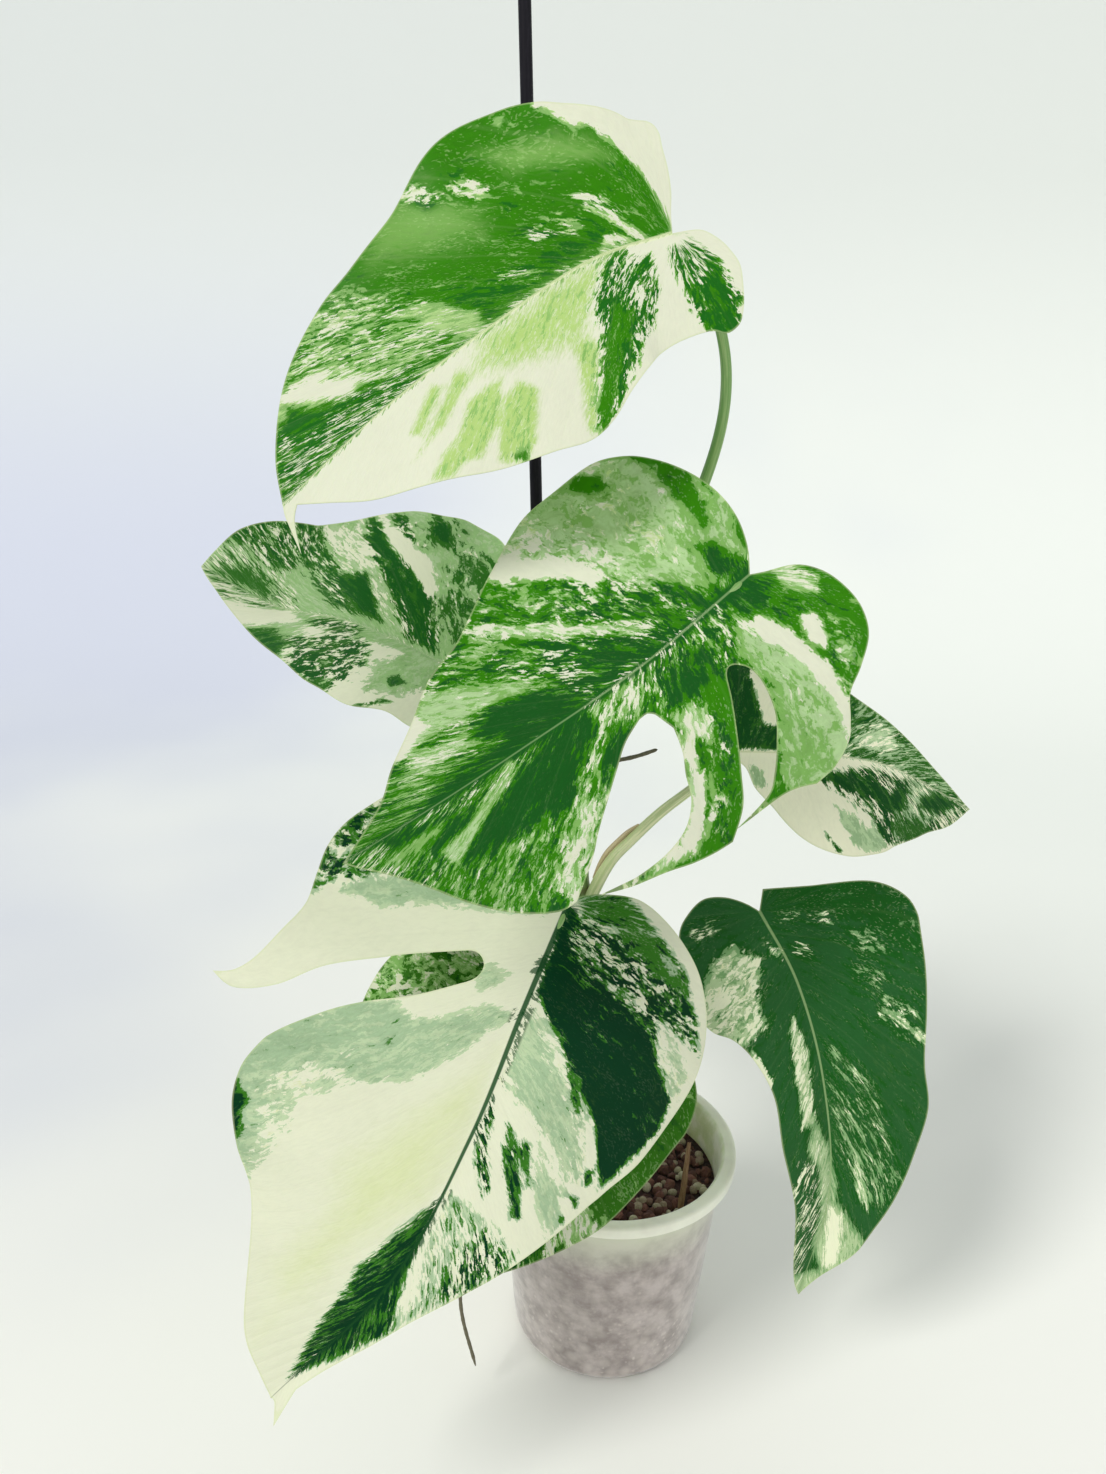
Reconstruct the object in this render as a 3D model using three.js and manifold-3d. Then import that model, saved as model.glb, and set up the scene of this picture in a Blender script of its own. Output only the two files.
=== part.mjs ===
// A young variegated monstera in a clear-milky nursery pot, in millimetres, +Z up.
// The origin is the middle of the pot's underside. The plant faces -Y.

import * as THREE from "three";
import { mergeGeometries, mergeVertices } from "three/addons/utils/BufferGeometryUtils.js";
import Module from "manifold-3d";

const wasm = await Module();
wasm.setup();

// Pot
const POT_HEIGHT = 104;
const POT_RIM_RADIUS = 60;
const POT_TOP_RADIUS = 54;
const POT_FOOT_RADIUS = 45;
const POT_WALL = 1.2;
const POT_FLOOR = 1.4;
const POT_LIP_DROP = 5.5;
const POT_FOOT_ROUND = 6;
const POT_SIDES = 48;
const LIP_ROUND = 2;
const LIP_THICKNESS = 1.8;
const LIP_SLOPE = 0.4;
const FOOT_PIECES = 4;
const LIP_PIECES = 3;
const DRAIN_COUNT = 6;
const DRAIN_WIDTH = 9;
const DRAIN_HEIGHT = 3;
const DRAIN_TURN = 47;
const DRAIN_INSET = 1;

// Soil
const SOIL_LEVEL = 84;
const SOIL_RELIEF = 1.6;
const SOIL_RINGS = 6;
const SOIL_SLACK = 0.2;
const SOIL_FLAT_RIM = 2;
const GRAIN_COUNT = 34;
const GRAIN_RADIUS = 2.6;
const GRAIN_FLATNESS = 0.8;
const GRAIN_LIFT = 0.5;
const GRAIN_MARGIN = 4;
const GRAIN_SEED = 4514;

// Stake, stem and what else stands in the soil
const STAKE_RADIUS = 2.6;
const STAKE_LENGTH = 600;
const STAKE_FOOT = new THREE.Vector3(-25.5, 18, 5);
const STAKE_TOP = new THREE.Vector3(-51.5, 50, 604);
const STAKE_SIDES = 16;
const STAKE_POINT = 12;
const STAKE_POINT_RADIUS = 1.2;
const STAKE_CHAMFER = 1;
const STEM_RADIUS = 6.4;
const STEM_TIP_RADIUS = 4.6;
const STEM_STEPS = 18;
const STEM_SIDES = 12;
const SIDE_ROOT_RADIUS = 1.1;
const LOW_ROOT_RADIUS = 1;
const ROOT_TAPER = 0.8;
const ROOT_STEPS = 14;
const ROOT_SIDES = 7;
const SHEATH_END_RADIUS = 0.8;
const SHEATH_SWELL = 2.6;
const SHEATH_STEPS = 10;
const GAP = 0.3;

const MERGE_REACH = 1e-3;
const DRAW_FACTOR = 16807;
const DRAW_LIMIT = 2147483647;

// Leaves
const BLADE_THICKNESS = 0.8;
const EDGE_STEP = 8;
const FILL_STEP = 15;
const RIB_STEPS = 14;
const PETIOLE_TIP_RADIUS = 1.9;
const PETIOLE_SEAT = 5;
const PETIOLE_SEAT_DROP = 0.76;
const STALK_STEPS = 16;
const STALK_SIDES = 8;
const WING_END_RADIUS = 0.6;
const WING_SWELL = 3.6;
const WING_STEPS = 8;
const RIPPLE = 1.2;
const RIPPLE_LENGTH = 45;
const RIPPLE_REACH = 60;
const RIPPLE_LAG = 2;
const LOBE_REACH = 0.35;

const STEM_PATH = [
  [-4, 6, 44],
  [-8, 8, 100],
  [-13, 10, 160],
  [-19, 13, 220],
  [-21, 16, 280],
  [-21, 17, 302],
];
const SHEATH_PATH = [
  [31, -27, 70],
  [32, -25, 84],
  [34, -19, 99],
  [36, -12, 112],
];
const SIDE_ROOT_PATH = [
  [-20, 16, 288],
  [-7, 18, 291],
  [4, 20, 293],
  [14, 22, 296],
];
const LOW_ROOT_PATH = [
  [-11, 9, 122],
  [-34, -18, 130],
  [-56, -38, 114],
  [-67, -45, 82],
  [-69, -48, 48],
  [-62, -50, 14],
];

// Each leaf: the rib from its base to its tip, the way its upper face looks at the base, middle and tip,
// the upward fold of its halves in degrees, and how each half curls down, in thousandths of a millimetre.
// The margins are flat outlines, [across, along] the rib, from the notch at the stalk to the tip. Each list
// is a smooth stretch, and stretches meet at a corner.
const LEAVES = {
  a: {
    rib: [[7, 4, 506], [-24, -2, 495], [-61, -14, 470], [-97, -26, 442], [-132, -38, 409]],
    face: [[-0.15, -0.9, 0.4], [-0.2, -0.9, 0.38], [-0.3, -0.88, 0.35]],
    fold: [14, 12, 20],
    curl: { right: [5, 5, 6], left: [9, 5, 4] },
    right: [
      [[0, 0], [7, -2], [15, -5], [24, -7], [32, -8], [39, -9], [44, -7], [47, -1], [54, 11], [61, 20],
        [68, 26], [73, 33], [75, 44], [70, 60], [58, 84], [50, 104], [46, 121], [36, 141], [26, 156],
        [13, 170], [0, 179]],
    ],
    left: [
      [[0, 0], [-1, -6], [-3, -11], [-9, -15], [-15, -17], [-22, -18], [-30, -16], [-38, -13],
        [-44, -9], [-46, -3], [-43, 2], [-43, 10], [-45, 20], [-49, 36], [-54, 53], [-59, 66], [-61, 78],
        [-57, 92], [-50, 113], [-44, 126], [-37, 140], [-28, 155], [-16, 166], [-5, 175]],
      [[-11, 180], [-25, 186]],
      [[-13, 183], [-5, 181], [0, 179]],
    ],
    stalkRadius: 3.1,
    petiole: [[-21, 17, 304], [-9, 34, 334], [13, 37, 374], [29, 33, 414], [34, 26, 444], [31, 20, 468],
      [21, 14, 489]],
  },
  b: {
    rib: [[-65, 48, 314], [-89, 46, 329], [-127, 48, 345], [-162, 54, 350], [-197, 62, 366]],
    face: [[0.05, -0.5, 0.85], [0, -0.5, 0.85], [-0.1, -0.6, 0.75]],
    fold: [26, 24, 24],
    curl: { right: [4, 5, 5], left: [3, 3, 3] },
    right: [
      [[0, 0], [8, -5], [22, -9], [40, -5], [56, 4], [71, 18], [80, 28], [80, 42], [73, 54], [68, 68],
        [54, 84], [47, 99], [43, 117], [36, 130], [24, 140], [10, 144], [0, 146]],
    ],
    left: [
      [[0, 0], [-6, -7], [-18, -11], [-34, -8], [-48, 2], [-57, 14], [-60, 26], [-59, 36], [-65, 49],
        [-60, 62], [-56, 73], [-44, 87], [-24, 109], [-12, 127], [-5, 139], [0, 146]],
    ],
    stalkRadius: 2.6,
    petiole: [[-18, 13, 208], [-34, 12, 236], [-52, 26, 274], [-61, 40, 300]],
  },
  c: {
    rib: [[41, -25, 384], [-1, -50, 353], [-45, -80, 329], [-76, -106, 315], [-98, -128, 307]],
    face: [[0.1, -0.8, 0.6], [0, -0.8, 0.6], [0, -0.75, 0.65]],
    fold: [14, 10, 14],
    curl: { right: [5, 5, 7], left: [9, 10, 12] },
    right: [
      [[0, 0], [9, -7], [21, -12], [34, -13], [48, -10], [60, -4], [69, 5], [75, 18], [77, 40], [72, 62],
        [63, 82], [53, 98], [46, 110], [40, 126], [29, 142], [19, 158], [10, 170], [0, 192]],
    ],
    left: [
      [[0, 0], [-3, -5], [-9, -16], [-18, -22], [-29, -24], [-39, -23], [-48, -18], [-55, -7], [-60, 3],
        [-68, 9], [-74, 14], [-78, 24], [-78, 35]],
      [[-72, 47], [-70, 66]],
      [[-68, 52], [-63, 46], [-55, 39], [-46, 32], [-35, 28], [-27, 28], [-22, 32], [-23, 36], [-31, 41],
        [-42, 48], [-54, 55], [-65, 61], [-73, 70]],
      [[-72, 79], [-70, 88], [-66, 99], [-62, 114], [-58, 126]],
      [[-60, 114], [-61, 107], [-61, 95], [-58, 84], [-51, 76], [-42, 72], [-35, 68], [-26, 65]],
      [[-22, 66], [-18, 67]],
      [[-16, 69], [-16, 73]],
      [[-20, 83], [-26, 92], [-33, 102], [-40, 112], [-47, 121], [-55, 134]],
      [[-54, 142], [-45, 156], [-34, 168], [-23, 176], [-13, 183], [-5, 189], [0, 192]],
    ],
    stalkRadius: 2.7,
    petiole: [[-19, 14, 256], [-16, 6, 290], [-9, 6, 325], [8, 2, 352], [28, -9, 372]],
  },
  d: {
    rib: [[-25, -48, 254], [-42, -78, 223], [-60, -106, 186], [-87, -128, 140], [-129, -142, 100]],
    face: [[0.05, -0.88, 0.5], [0.05, -0.93, 0.4], [0, -0.95, 0.3]],
    fold: [10, 8, 10],
    curl: { right: [3, 2, 2], left: [7, 10, 12] },
    right: [
      [[0, 0], [8, -8], [22, -18], [40, -25], [60, -25], [76, -20], [86, -8], [93, 8], [96, 21],
        [95, 32], [93, 44], [96, 54], [101, 66], [107, 74], [114, 78]],
      [[104, 81], [90, 73], [76, 60], [56, 49], [35, 38], [26, 34], [21, 37], [22, 43], [29, 49],
        [42, 58], [57, 66], [69, 75], [80, 88], [86, 101], [87, 111], [84, 124], [75, 139], [67, 150],
        [59, 165], [48, 180], [32, 198], [22, 206], [10, 211], [0, 215]],
    ],
    left: [
      [[0, 0], [-4, -5], [-14, -10], [-26, -13], [-39, -10], [-53, -3], [-65, 6], [-75, 18], [-79, 33],
        [-77, 57], [-68, 79], [-57, 94], [-48, 111], [-35, 130], [-24, 145], [-15, 160], [-10, 176],
        [-6, 192], [-4, 206]],
      [[-8, 221]],
      [[-2, 215], [0, 215]],
    ],
    stalkRadius: 2.8,
    petiole: [[-17, 12, 188], [-20, -4, 214], [-24, -24, 240], [-25, -39, 252]],
  },
  e: {
    rib: [[-21, -32, 207], [-39, -56, 176], [-58, -78, 143], [-77, -92, 108]],
    face: [[0, -0.8, 0.6], [0, -0.85, 0.5], [0, -0.9, 0.4]],
    fold: [8, 8, 10],
    curl: { right: [4, 4, 4], left: [8, 8, 8] },
    right: [
      [[0, 0], [8, -7], [20, -11], [36, -11], [54, -5], [68, 8], [77, 24], [79, 38], [76, 54], [66, 76],
        [50, 96], [30, 114], [12, 126], [0, 134]],
    ],
    left: [
      [[0, 0], [-6, -6], [-18, -10], [-34, -9], [-50, -2], [-62, 10], [-69, 20], [-70, 32], [-67, 42],
        [-62, 60], [-54, 79], [-44, 93], [-34, 105], [-22, 117], [-10, 128], [0, 134]],
    ],
    stalkRadius: 2.4,
    petiole: [[-13, 9, 150], [-16, -6, 172], [-20, -18, 192], [-21, -26, 204]],
  },
  f: {
    rib: [[62, 2, 227], [78, -16, 201], [89, -34, 164], [94, -46, 115], [85, -50, 64]],
    face: [[0.12, -0.9, 0.45], [0.18, -0.93, 0.35], [0.25, -0.93, 0.25]],
    fold: [20, 18, 16],
    curl: { right: [3, 4, 5], left: [5, 5, 5] },
    right: [
      [[0, 0], [5, -6], [13, -12], [23, -15], [33, -12], [41, -6], [46, 6], [50, 20], [50, 34], [47, 43],
        [39, 50], [32, 62], [26, 80], [25, 104], [18, 134], [11, 160], [5, 176], [0, 184]],
    ],
    left: [
      [[0, 0], [-3, -4], [-6, -8]],
      [[-18, -3], [-32, 3], [-50, 12], [-60, 21], [-62, 28], [-58, 37], [-51, 60], [-45, 78], [-44, 97],
        [-36, 116], [-24, 141], [-18, 157], [-7, 172], [0, 184]],
    ],
    stalkRadius: 2.6,
    petiole: [[-13, 9, 130], [1, 2, 149], [18, 0, 170], [38, 2, 198], [54, 4, 220]],
  },
  g: {
    rib: [[47, 30, 293], [72, 36, 291], [108, 46, 286], [135, 54, 277], [175, 64, 254]],
    face: [[0.2, -0.7, 0.7], [0.2, -0.7, 0.7], [0.3, -0.75, 0.6]],
    fold: [10, 10, 10],
    curl: { right: [6, 5, 5], left: [6, 6, 6] },
    right: [
      [[0, 0], [4, 3], [9, 7], [19, 9], [28, 15], [38, 22], [46, 32], [51, 46], [51, 58], [46, 76],
        [36, 98], [26, 112], [16, 126], [0, 140]],
    ],
    left: [
      [[0, 0], [-5, -6], [-16, -13], [-32, -13], [-46, -5], [-55, 8], [-57, 24], [-52, 42], [-43, 57],
        [-33, 69], [-22, 86], [-12, 107], [-5, 126], [0, 140]],
    ],
    stalkRadius: 3.1,
    petiole: [[-18, 12, 214], [-12, 9.5, 233], [-5, 12, 246], [3, 15, 254], [17, 19, 267],
      [30, 23, 276.5], [42, 27, 286]],
    wing: [[-13, 11, 237], [-10, 12, 244], [-7, 13, 249], [-2, 15, 254], [2, 16, 258], [7, 17, 261.5]],
  },
};

const rgb = (r, g, b) => new THREE.Color(r, g, b);
const FINISH = {
  pot: new THREE.MeshStandardMaterial({ color: rgb(0.72, 0.74, 0.64), roughness: 0.5 }),
  soil: new THREE.MeshStandardMaterial({ color: rgb(0.12, 0.06, 0.06), roughness: 1 }),
  stake: new THREE.MeshStandardMaterial({ color: rgb(0.02, 0.02, 0.025), roughness: 0.6 }),
  stem: new THREE.MeshStandardMaterial({ color: rgb(0.35, 0.42, 0.18), roughness: 0.6 }),
  petiole: new THREE.MeshStandardMaterial({ color: rgb(0.36, 0.5, 0.2), roughness: 0.5 }),
  blade: new THREE.MeshStandardMaterial({ color: rgb(0.3, 0.5, 0.22), roughness: 0.45 }),
  sheath: new THREE.MeshStandardMaterial({ color: rgb(0.36, 0.22, 0.13), roughness: 0.9 }),
  root: new THREE.MeshStandardMaterial({ color: rgb(0.22, 0.2, 0.14), roughness: 0.9 }),
};

const vector = ([x, y, z]) => new THREE.Vector3(x, y, z);

// A closed solid for cutting and joining, made from a geometry's positions alone.
function solid(geometry) {
  const bare = geometry.clone();
  for (const name of Object.keys(bare.attributes)) {
    if (name !== "position") bare.deleteAttribute(name);
  }
  const merged = mergeVertices(bare, MERGE_REACH);
  return new wasm.Manifold(
    new wasm.Mesh({
      numProp: 3,
      vertProperties: merged.attributes.position.array,
      triVerts: new Uint32Array(merged.index.array),
    }),
  );
}

// The largest body of a solid, as a geometry.
function geometryOf(shape) {
  const bodies = shape.decompose().sort((p, q) => q.volume() - p.volume());
  const mesh = bodies[0].getMesh();
  return new THREE.BufferGeometry()
    .setAttribute("position", new THREE.BufferAttribute(mesh.vertProperties, 3))
    .setIndex(new THREE.BufferAttribute(mesh.triVerts, 1));
}

// A named piece with its own surface directions.
function meshOf(name, geometry, material) {
  const plain = geometry.clone();
  plain.computeVertexNormals();
  const mesh = new THREE.Mesh(plain, material);
  mesh.name = name;
  return mesh;
}

// A cylinder bent along a curve, its radius given at each share of the length.
function tube(points, radiusAt, steps, sides = 10) {
  const curve = new THREE.CatmullRomCurve3(points.map(vector), false, "centripetal");
  const frames = curve.computeFrenetFrames(steps, false);
  const geometry = new THREE.CylinderGeometry(1, 1, 1, sides, steps).toNonIndexed();
  const position = geometry.attributes.position;
  for (let i = 0; i < position.count; i++) {
    const share = position.getY(i) + 0.5;
    const step = Math.round(share * steps);
    const radius = radiusAt(share);
    const place = curve
      .getPointAt(share)
      .addScaledVector(frames.normals[step], position.getX(i) * radius)
      .addScaledVector(frames.binormals[step], -position.getZ(i) * radius);
    position.setXYZ(i, place.x, place.y, place.z);
  }
  return geometry;
}

// A radius that changes evenly from one end to the other.
const taper = (from, to) => (share) => from + (to - from) * share;

// A radius that is the same at both ends and swells between them.
const spindle = (end, swell) => (share) => end + swell * share * (1 - share);

// A repeatable draw of numbers between 0 and 1.
function seeded(seed) {
  let state = seed;
  return () => {
    state = (state * DRAW_FACTOR) % DRAW_LIMIT;
    return state / DRAW_LIMIT;
  };
}

// Value at 0, a half and 1, joined by one smooth curve.
function blend(values, share) {
  const [first, middle, last] = values;
  return (
    first * (1 - share) * (1 - 2 * share) +
    middle * 4 * share * (1 - share) +
    last * share * (2 * share - 1)
  );
}

// The curved sheet that a leaf's flat outline is laid on.
class BladeSurface {
  constructor(leaf) {
    this.leaf = leaf;
    this.curve = new THREE.CatmullRomCurve3(leaf.rib.map(vector), false, "catmullrom", 0.5);
    this.length = this.curve.getLength();
  }

  // The rib's point there, the sheet's normal and the way across it.
  frameAt(along) {
    const share = THREE.MathUtils.clamp(along / this.length, 0, 1);
    const tangent = this.curve.getTangentAt(share);
    const face = [0, 1, 2].map((axis) => blend(this.leaf.face.map((way) => way[axis]), share));
    const normal = vector(face);
    normal.addScaledVector(tangent, -normal.dot(tangent)).normalize();
    const origin = this.curve.getPointAt(share).addScaledVector(tangent, along - share * this.length);
    const across = new THREE.Vector3().crossVectors(tangent, normal);
    return { origin, normal, across };
  }

  // Where a flat point comes to lie: folded up from the rib, curled down outwards and rippled.
  pointAt(across, along) {
    const frame = this.frameAt(along);
    const reach = THREE.MathUtils.clamp((along / this.length + LOBE_REACH) / (1 + LOBE_REACH), 0, 1);
    const side = across > 0 ? this.leaf.curl.right : this.leaf.curl.left;
    const curl = blend(side, reach) / 1000;
    const fold = THREE.MathUtils.degToRad(blend(this.leaf.fold, reach));
    const distance = Math.abs(across);
    const sideways = (Math.sin(fold) - Math.sin(fold - curl * distance)) / curl;
    const bend = (Math.cos(fold - curl * distance) - Math.cos(fold)) / curl;
    const phase = (2 * Math.PI * along) / RIPPLE_LENGTH + (across > 0 ? 0 : RIPPLE_LAG);
    const lift = bend + RIPPLE * (distance / RIPPLE_REACH) ** 2 * Math.sin(phase);
    return frame.origin
      .addScaledVector(frame.across, Math.sign(across) * sideways)
      .addScaledVector(frame.normal, lift);
  }

  normalAt(across, along) {
    const step = 0.5;
    const overAcross = this.pointAt(across + step, along).sub(this.pointAt(across - step, along));
    const overAlong = this.pointAt(across, along + step).sub(this.pointAt(across, along - step));
    return overAcross.cross(overAlong).normalize();
  }
}

// Points along smooth stretches that meet at corners.
function marginPoints(stretches) {
  const points = [];
  for (const stretch of stretches) {
    const stops = stretch.map(([across, along]) => new THREE.Vector2(across, along));
    if (points.length) stops.unshift(points.at(-1).clone());
    const curve = new THREE.SplineCurve(stops);
    const pieces = Math.max(1, Math.round(curve.getLength() / EDGE_STEP));
    const fresh = curve.getSpacedPoints(pieces);
    points.push(...(points.length ? fresh.slice(1) : fresh));
  }
  return points;
}

// Above 0 where p, q and r run anticlockwise.
const turn = (p, q, r) => (q.x - p.x) * (r.y - p.y) - (q.y - p.y) * (r.x - p.x);

// True where d lies inside the circle through a, b and c, which run anticlockwise.
function insideCircle(a, b, c, d) {
  const rows = [a, b, c].map((p) => {
    const x = p.x - d.x;
    const y = p.y - d.y;
    return [x, y, x * x + y * y];
  });
  const [[ax, ay, az], [bx, by, bz], [cx, cy, cz]] = rows;
  return ax * (by * cz - bz * cy) - ay * (bx * cz - bz * cx) + az * (bx * cy - by * cx) > 1e-6;
}

// The faces on each side of every edge, by the edge's two points in order.
function edgeTable(faces) {
  const table = new Map();
  faces.forEach((face, index) => {
    for (let corner = 0; corner < 3; corner++) {
      table.set(face[corner] + "," + face[(corner + 1) % 3], { index, opposite: face[(corner + 2) % 3] });
    }
  });
  return table;
}

// Swaps the diagonals of neighbouring triangles until none is needlessly thin.
function fatten(points, faces) {
  for (let swapped = true; swapped; ) {
    swapped = false;
    const table = edgeTable(faces);
    const touched = new Set();
    for (const [key, near] of table) {
      const [from, to] = key.split(",").map(Number);
      const far = table.get(to + "," + from);
      if (!far || from > to || touched.has(near.index) || touched.has(far.index)) continue;
      const [p, q, r, s] = [from, to, near.opposite, far.opposite].map((i) => points[i]);
      if (!insideCircle(p, q, r, s)) continue;
      if (turn(s, q, r) <= 1e-9 || turn(s, r, p) <= 1e-9) continue;
      faces[near.index] = [far.opposite, to, near.opposite];
      faces[far.index] = [far.opposite, near.opposite, from];
      touched.add(near.index).add(far.index);
      swapped = true;
    }
  }
}

// Triangles inside an outline, with long inner edges halved.
function fillOutline(outline) {
  const points = outline.map((point) => point.clone());
  const faces = THREE.ShapeUtils.triangulateShape(points, []).map((face) => {
    const [p, q, r] = face.map((i) => points[i]);
    return turn(p, q, r) > 0 ? face : [face[0], face[2], face[1]];
  });
  for (;;) {
    fatten(points, faces);
    let longest = null;
    const table = edgeTable(faces);
    for (const [key, near] of table) {
      const [from, to] = key.split(",").map(Number);
      const far = table.get(to + "," + from);
      const length = points[from].distanceTo(points[to]);
      if (far && length > FILL_STEP && (!longest || length > longest.length)) {
        longest = { from, to, near, far, length };
      }
    }
    if (!longest) return { points, faces };
    const { from, to, near, far } = longest;
    const middle = points.push(points[from].clone().lerp(points[to], 0.5)) - 1;
    faces[near.index] = [from, middle, near.opposite];
    faces.push([middle, to, near.opposite]);
    faces[far.index] = [to, middle, far.opposite];
    faces.push([middle, from, far.opposite]);
  }
}

// One half of a blade as a closed sheet's faces: both sides alike, and a wall along the margin.
function halfBlade(surface, margin, depth, lift) {
  const tip = margin.at(-1).y;
  const rib = [];
  for (let step = RIB_STEPS - 1; step > 0; step--) {
    rib.push(new THREE.Vector2(0, (tip * step) / RIB_STEPS));
  }
  const { points, faces } = fillOutline([...margin, ...rib]);
  const upper = [];
  const lower = [];
  for (const point of points) {
    const place = surface.pointAt(point.x, point.y);
    const normal = surface.normalAt(point.x, point.y);
    upper.push(place.clone().addScaledVector(normal, lift));
    lower.push(place.clone().addScaledVector(normal, -depth));
  }
  const corners = [];
  for (const [p, q, r] of faces) {
    corners.push(upper[p], upper[q], upper[r]);
    corners.push(lower[p], lower[r], lower[q]);
  }
  const table = edgeTable(faces);
  for (let i = 0; i < margin.length - 1; i++) {
    const [from, to] = table.has(i + "," + (i + 1)) ? [i, i + 1] : [i + 1, i];
    corners.push(upper[to], upper[from], lower[from]);
    corners.push(upper[to], lower[from], lower[to]);
  }
  return new THREE.BufferGeometry().setFromPoints(corners);
}

// A leaf's blade, its upper face raised and its lower face sunk by what is given.
function blade(leaf, depth = BLADE_THICKNESS, lift = 0) {
  const surface = new BladeSurface(leaf);
  const halves = [leaf.right, leaf.left].map((margin) =>
    halfBlade(surface, marginPoints(margin), depth, lift),
  );
  return mergeVertices(mergeGeometries(halves), MERGE_REACH);
}

// A leaf's stalk ends against the underside of its rib, and is cut there to the blade's own form.
function petiolePath(leaf) {
  const surface = new BladeSurface(leaf);
  const depth = BLADE_THICKNESS + GAP + PETIOLE_SEAT_DROP;
  const seat = surface.frameAt(PETIOLE_SEAT);
  const end = seat.origin.addScaledVector(seat.normal, -depth);
  return [...leaf.petiole, end.toArray()];
}

// A leaf's stalk, cut clear of the stem and of its own blade.
function petiole(leaf, stemKeepOut) {
  const radius = taper(leaf.stalkRadius, PETIOLE_TIP_RADIUS);
  let stalk = solid(tube(petiolePath(leaf), radius, STALK_STEPS, STALK_SIDES));
  if (leaf.wing) {
    const fullness = spindle(WING_END_RADIUS, WING_SWELL);
    stalk = stalk.add(solid(tube(leaf.wing, fullness, WING_STEPS, STALK_SIDES)));
  }
  const bladeKeepOut = solid(blade(leaf, BLADE_THICKNESS + GAP, GAP));
  return geometryOf(stalk.subtract(stemKeepOut).subtract(bladeKeepOut));
}

// Outside radius of the pot's wall at a height.
function potWallRadius(height) {
  const share = height / (POT_HEIGHT - POT_LIP_DROP);
  return POT_FOOT_RADIUS + (POT_TOP_RADIUS - POT_FOOT_RADIUS) * share;
}

// Points along an arc of the pot's profile.
function roundedCorner(centreRadius, centreHeight, radius, fromDegrees, toDegrees, pieces) {
  const points = [];
  for (let i = 0; i <= pieces; i++) {
    const angle = THREE.MathUtils.degToRad(fromDegrees + ((toDegrees - fromDegrees) * i) / pieces);
    points.push([centreRadius + radius * Math.cos(angle), centreHeight + radius * Math.sin(angle)]);
  }
  return points;
}

// The pot is turned from one profile: up the outside, over the rolled lip and down the inside.
function pot() {
  const neck = POT_HEIGHT - POT_LIP_DROP;
  const inner = (height) => potWallRadius(height) - POT_WALL;
  const footCentre = potWallRadius(POT_FOOT_ROUND) - POT_FOOT_ROUND;
  const profile = [
    [0, 0],
    ...roundedCorner(footCentre, POT_FOOT_ROUND, POT_FOOT_ROUND, -90, 0, FOOT_PIECES),
    [potWallRadius(neck * 0.5), neck * 0.5],
    [potWallRadius(neck), neck],
    [POT_TOP_RADIUS + LIP_SLOPE / 2, POT_HEIGHT - LIP_THICKNESS - LIP_SLOPE],
    [POT_RIM_RADIUS - LIP_ROUND, POT_HEIGHT - LIP_THICKNESS],
    [POT_RIM_RADIUS - POT_WALL, POT_HEIGHT - LIP_THICKNESS - LIP_ROUND / 2],
    [POT_RIM_RADIUS - POT_WALL, neck],
    [POT_RIM_RADIUS, neck],
    ...roundedCorner(POT_RIM_RADIUS - LIP_ROUND, POT_HEIGHT - LIP_ROUND, LIP_ROUND, 0, 90, LIP_PIECES),
    [POT_TOP_RADIUS + LIP_SLOPE, POT_HEIGHT - LIP_SLOPE],
    [POT_TOP_RADIUS - POT_WALL, POT_HEIGHT - LIP_THICKNESS - LIP_SLOPE * 2],
    [inner(neck * 0.5), neck * 0.5],
    ...roundedCorner(footCentre, POT_FOOT_ROUND, POT_FOOT_ROUND - POT_FLOOR, 0, -90, FOOT_PIECES),
    [0, POT_FLOOR],
  ].map(([radius, height]) => new THREE.Vector2(radius, height));
  const shell = new THREE.LatheGeometry(profile, POT_SIDES);
  shell.rotateX(Math.PI / 2);
  let cut = solid(shell);
  for (let i = 0; i < DRAIN_COUNT; i++) {
    const drain = new THREE.BoxGeometry(POT_FOOT_ROUND * 2, DRAIN_WIDTH, DRAIN_HEIGHT * 2);
    drain.translate(POT_FOOT_RADIUS - DRAIN_INSET, 0, 0);
    drain.rotateZ(THREE.MathUtils.degToRad(DRAIN_TURN + (360 * i) / DRAIN_COUNT));
    cut = cut.subtract(solid(drain));
  }
  return geometryOf(cut);
}

// Low bumps over the top of the soil, between about -1 and 1: a short wave each way and one aslant.
const soilBumps = (x, y) =>
  0.6 * Math.sin(x * 0.61 + 1.3) * Math.cos(y * 0.53) + 0.36 * Math.sin((x + y) * 0.9);

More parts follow.
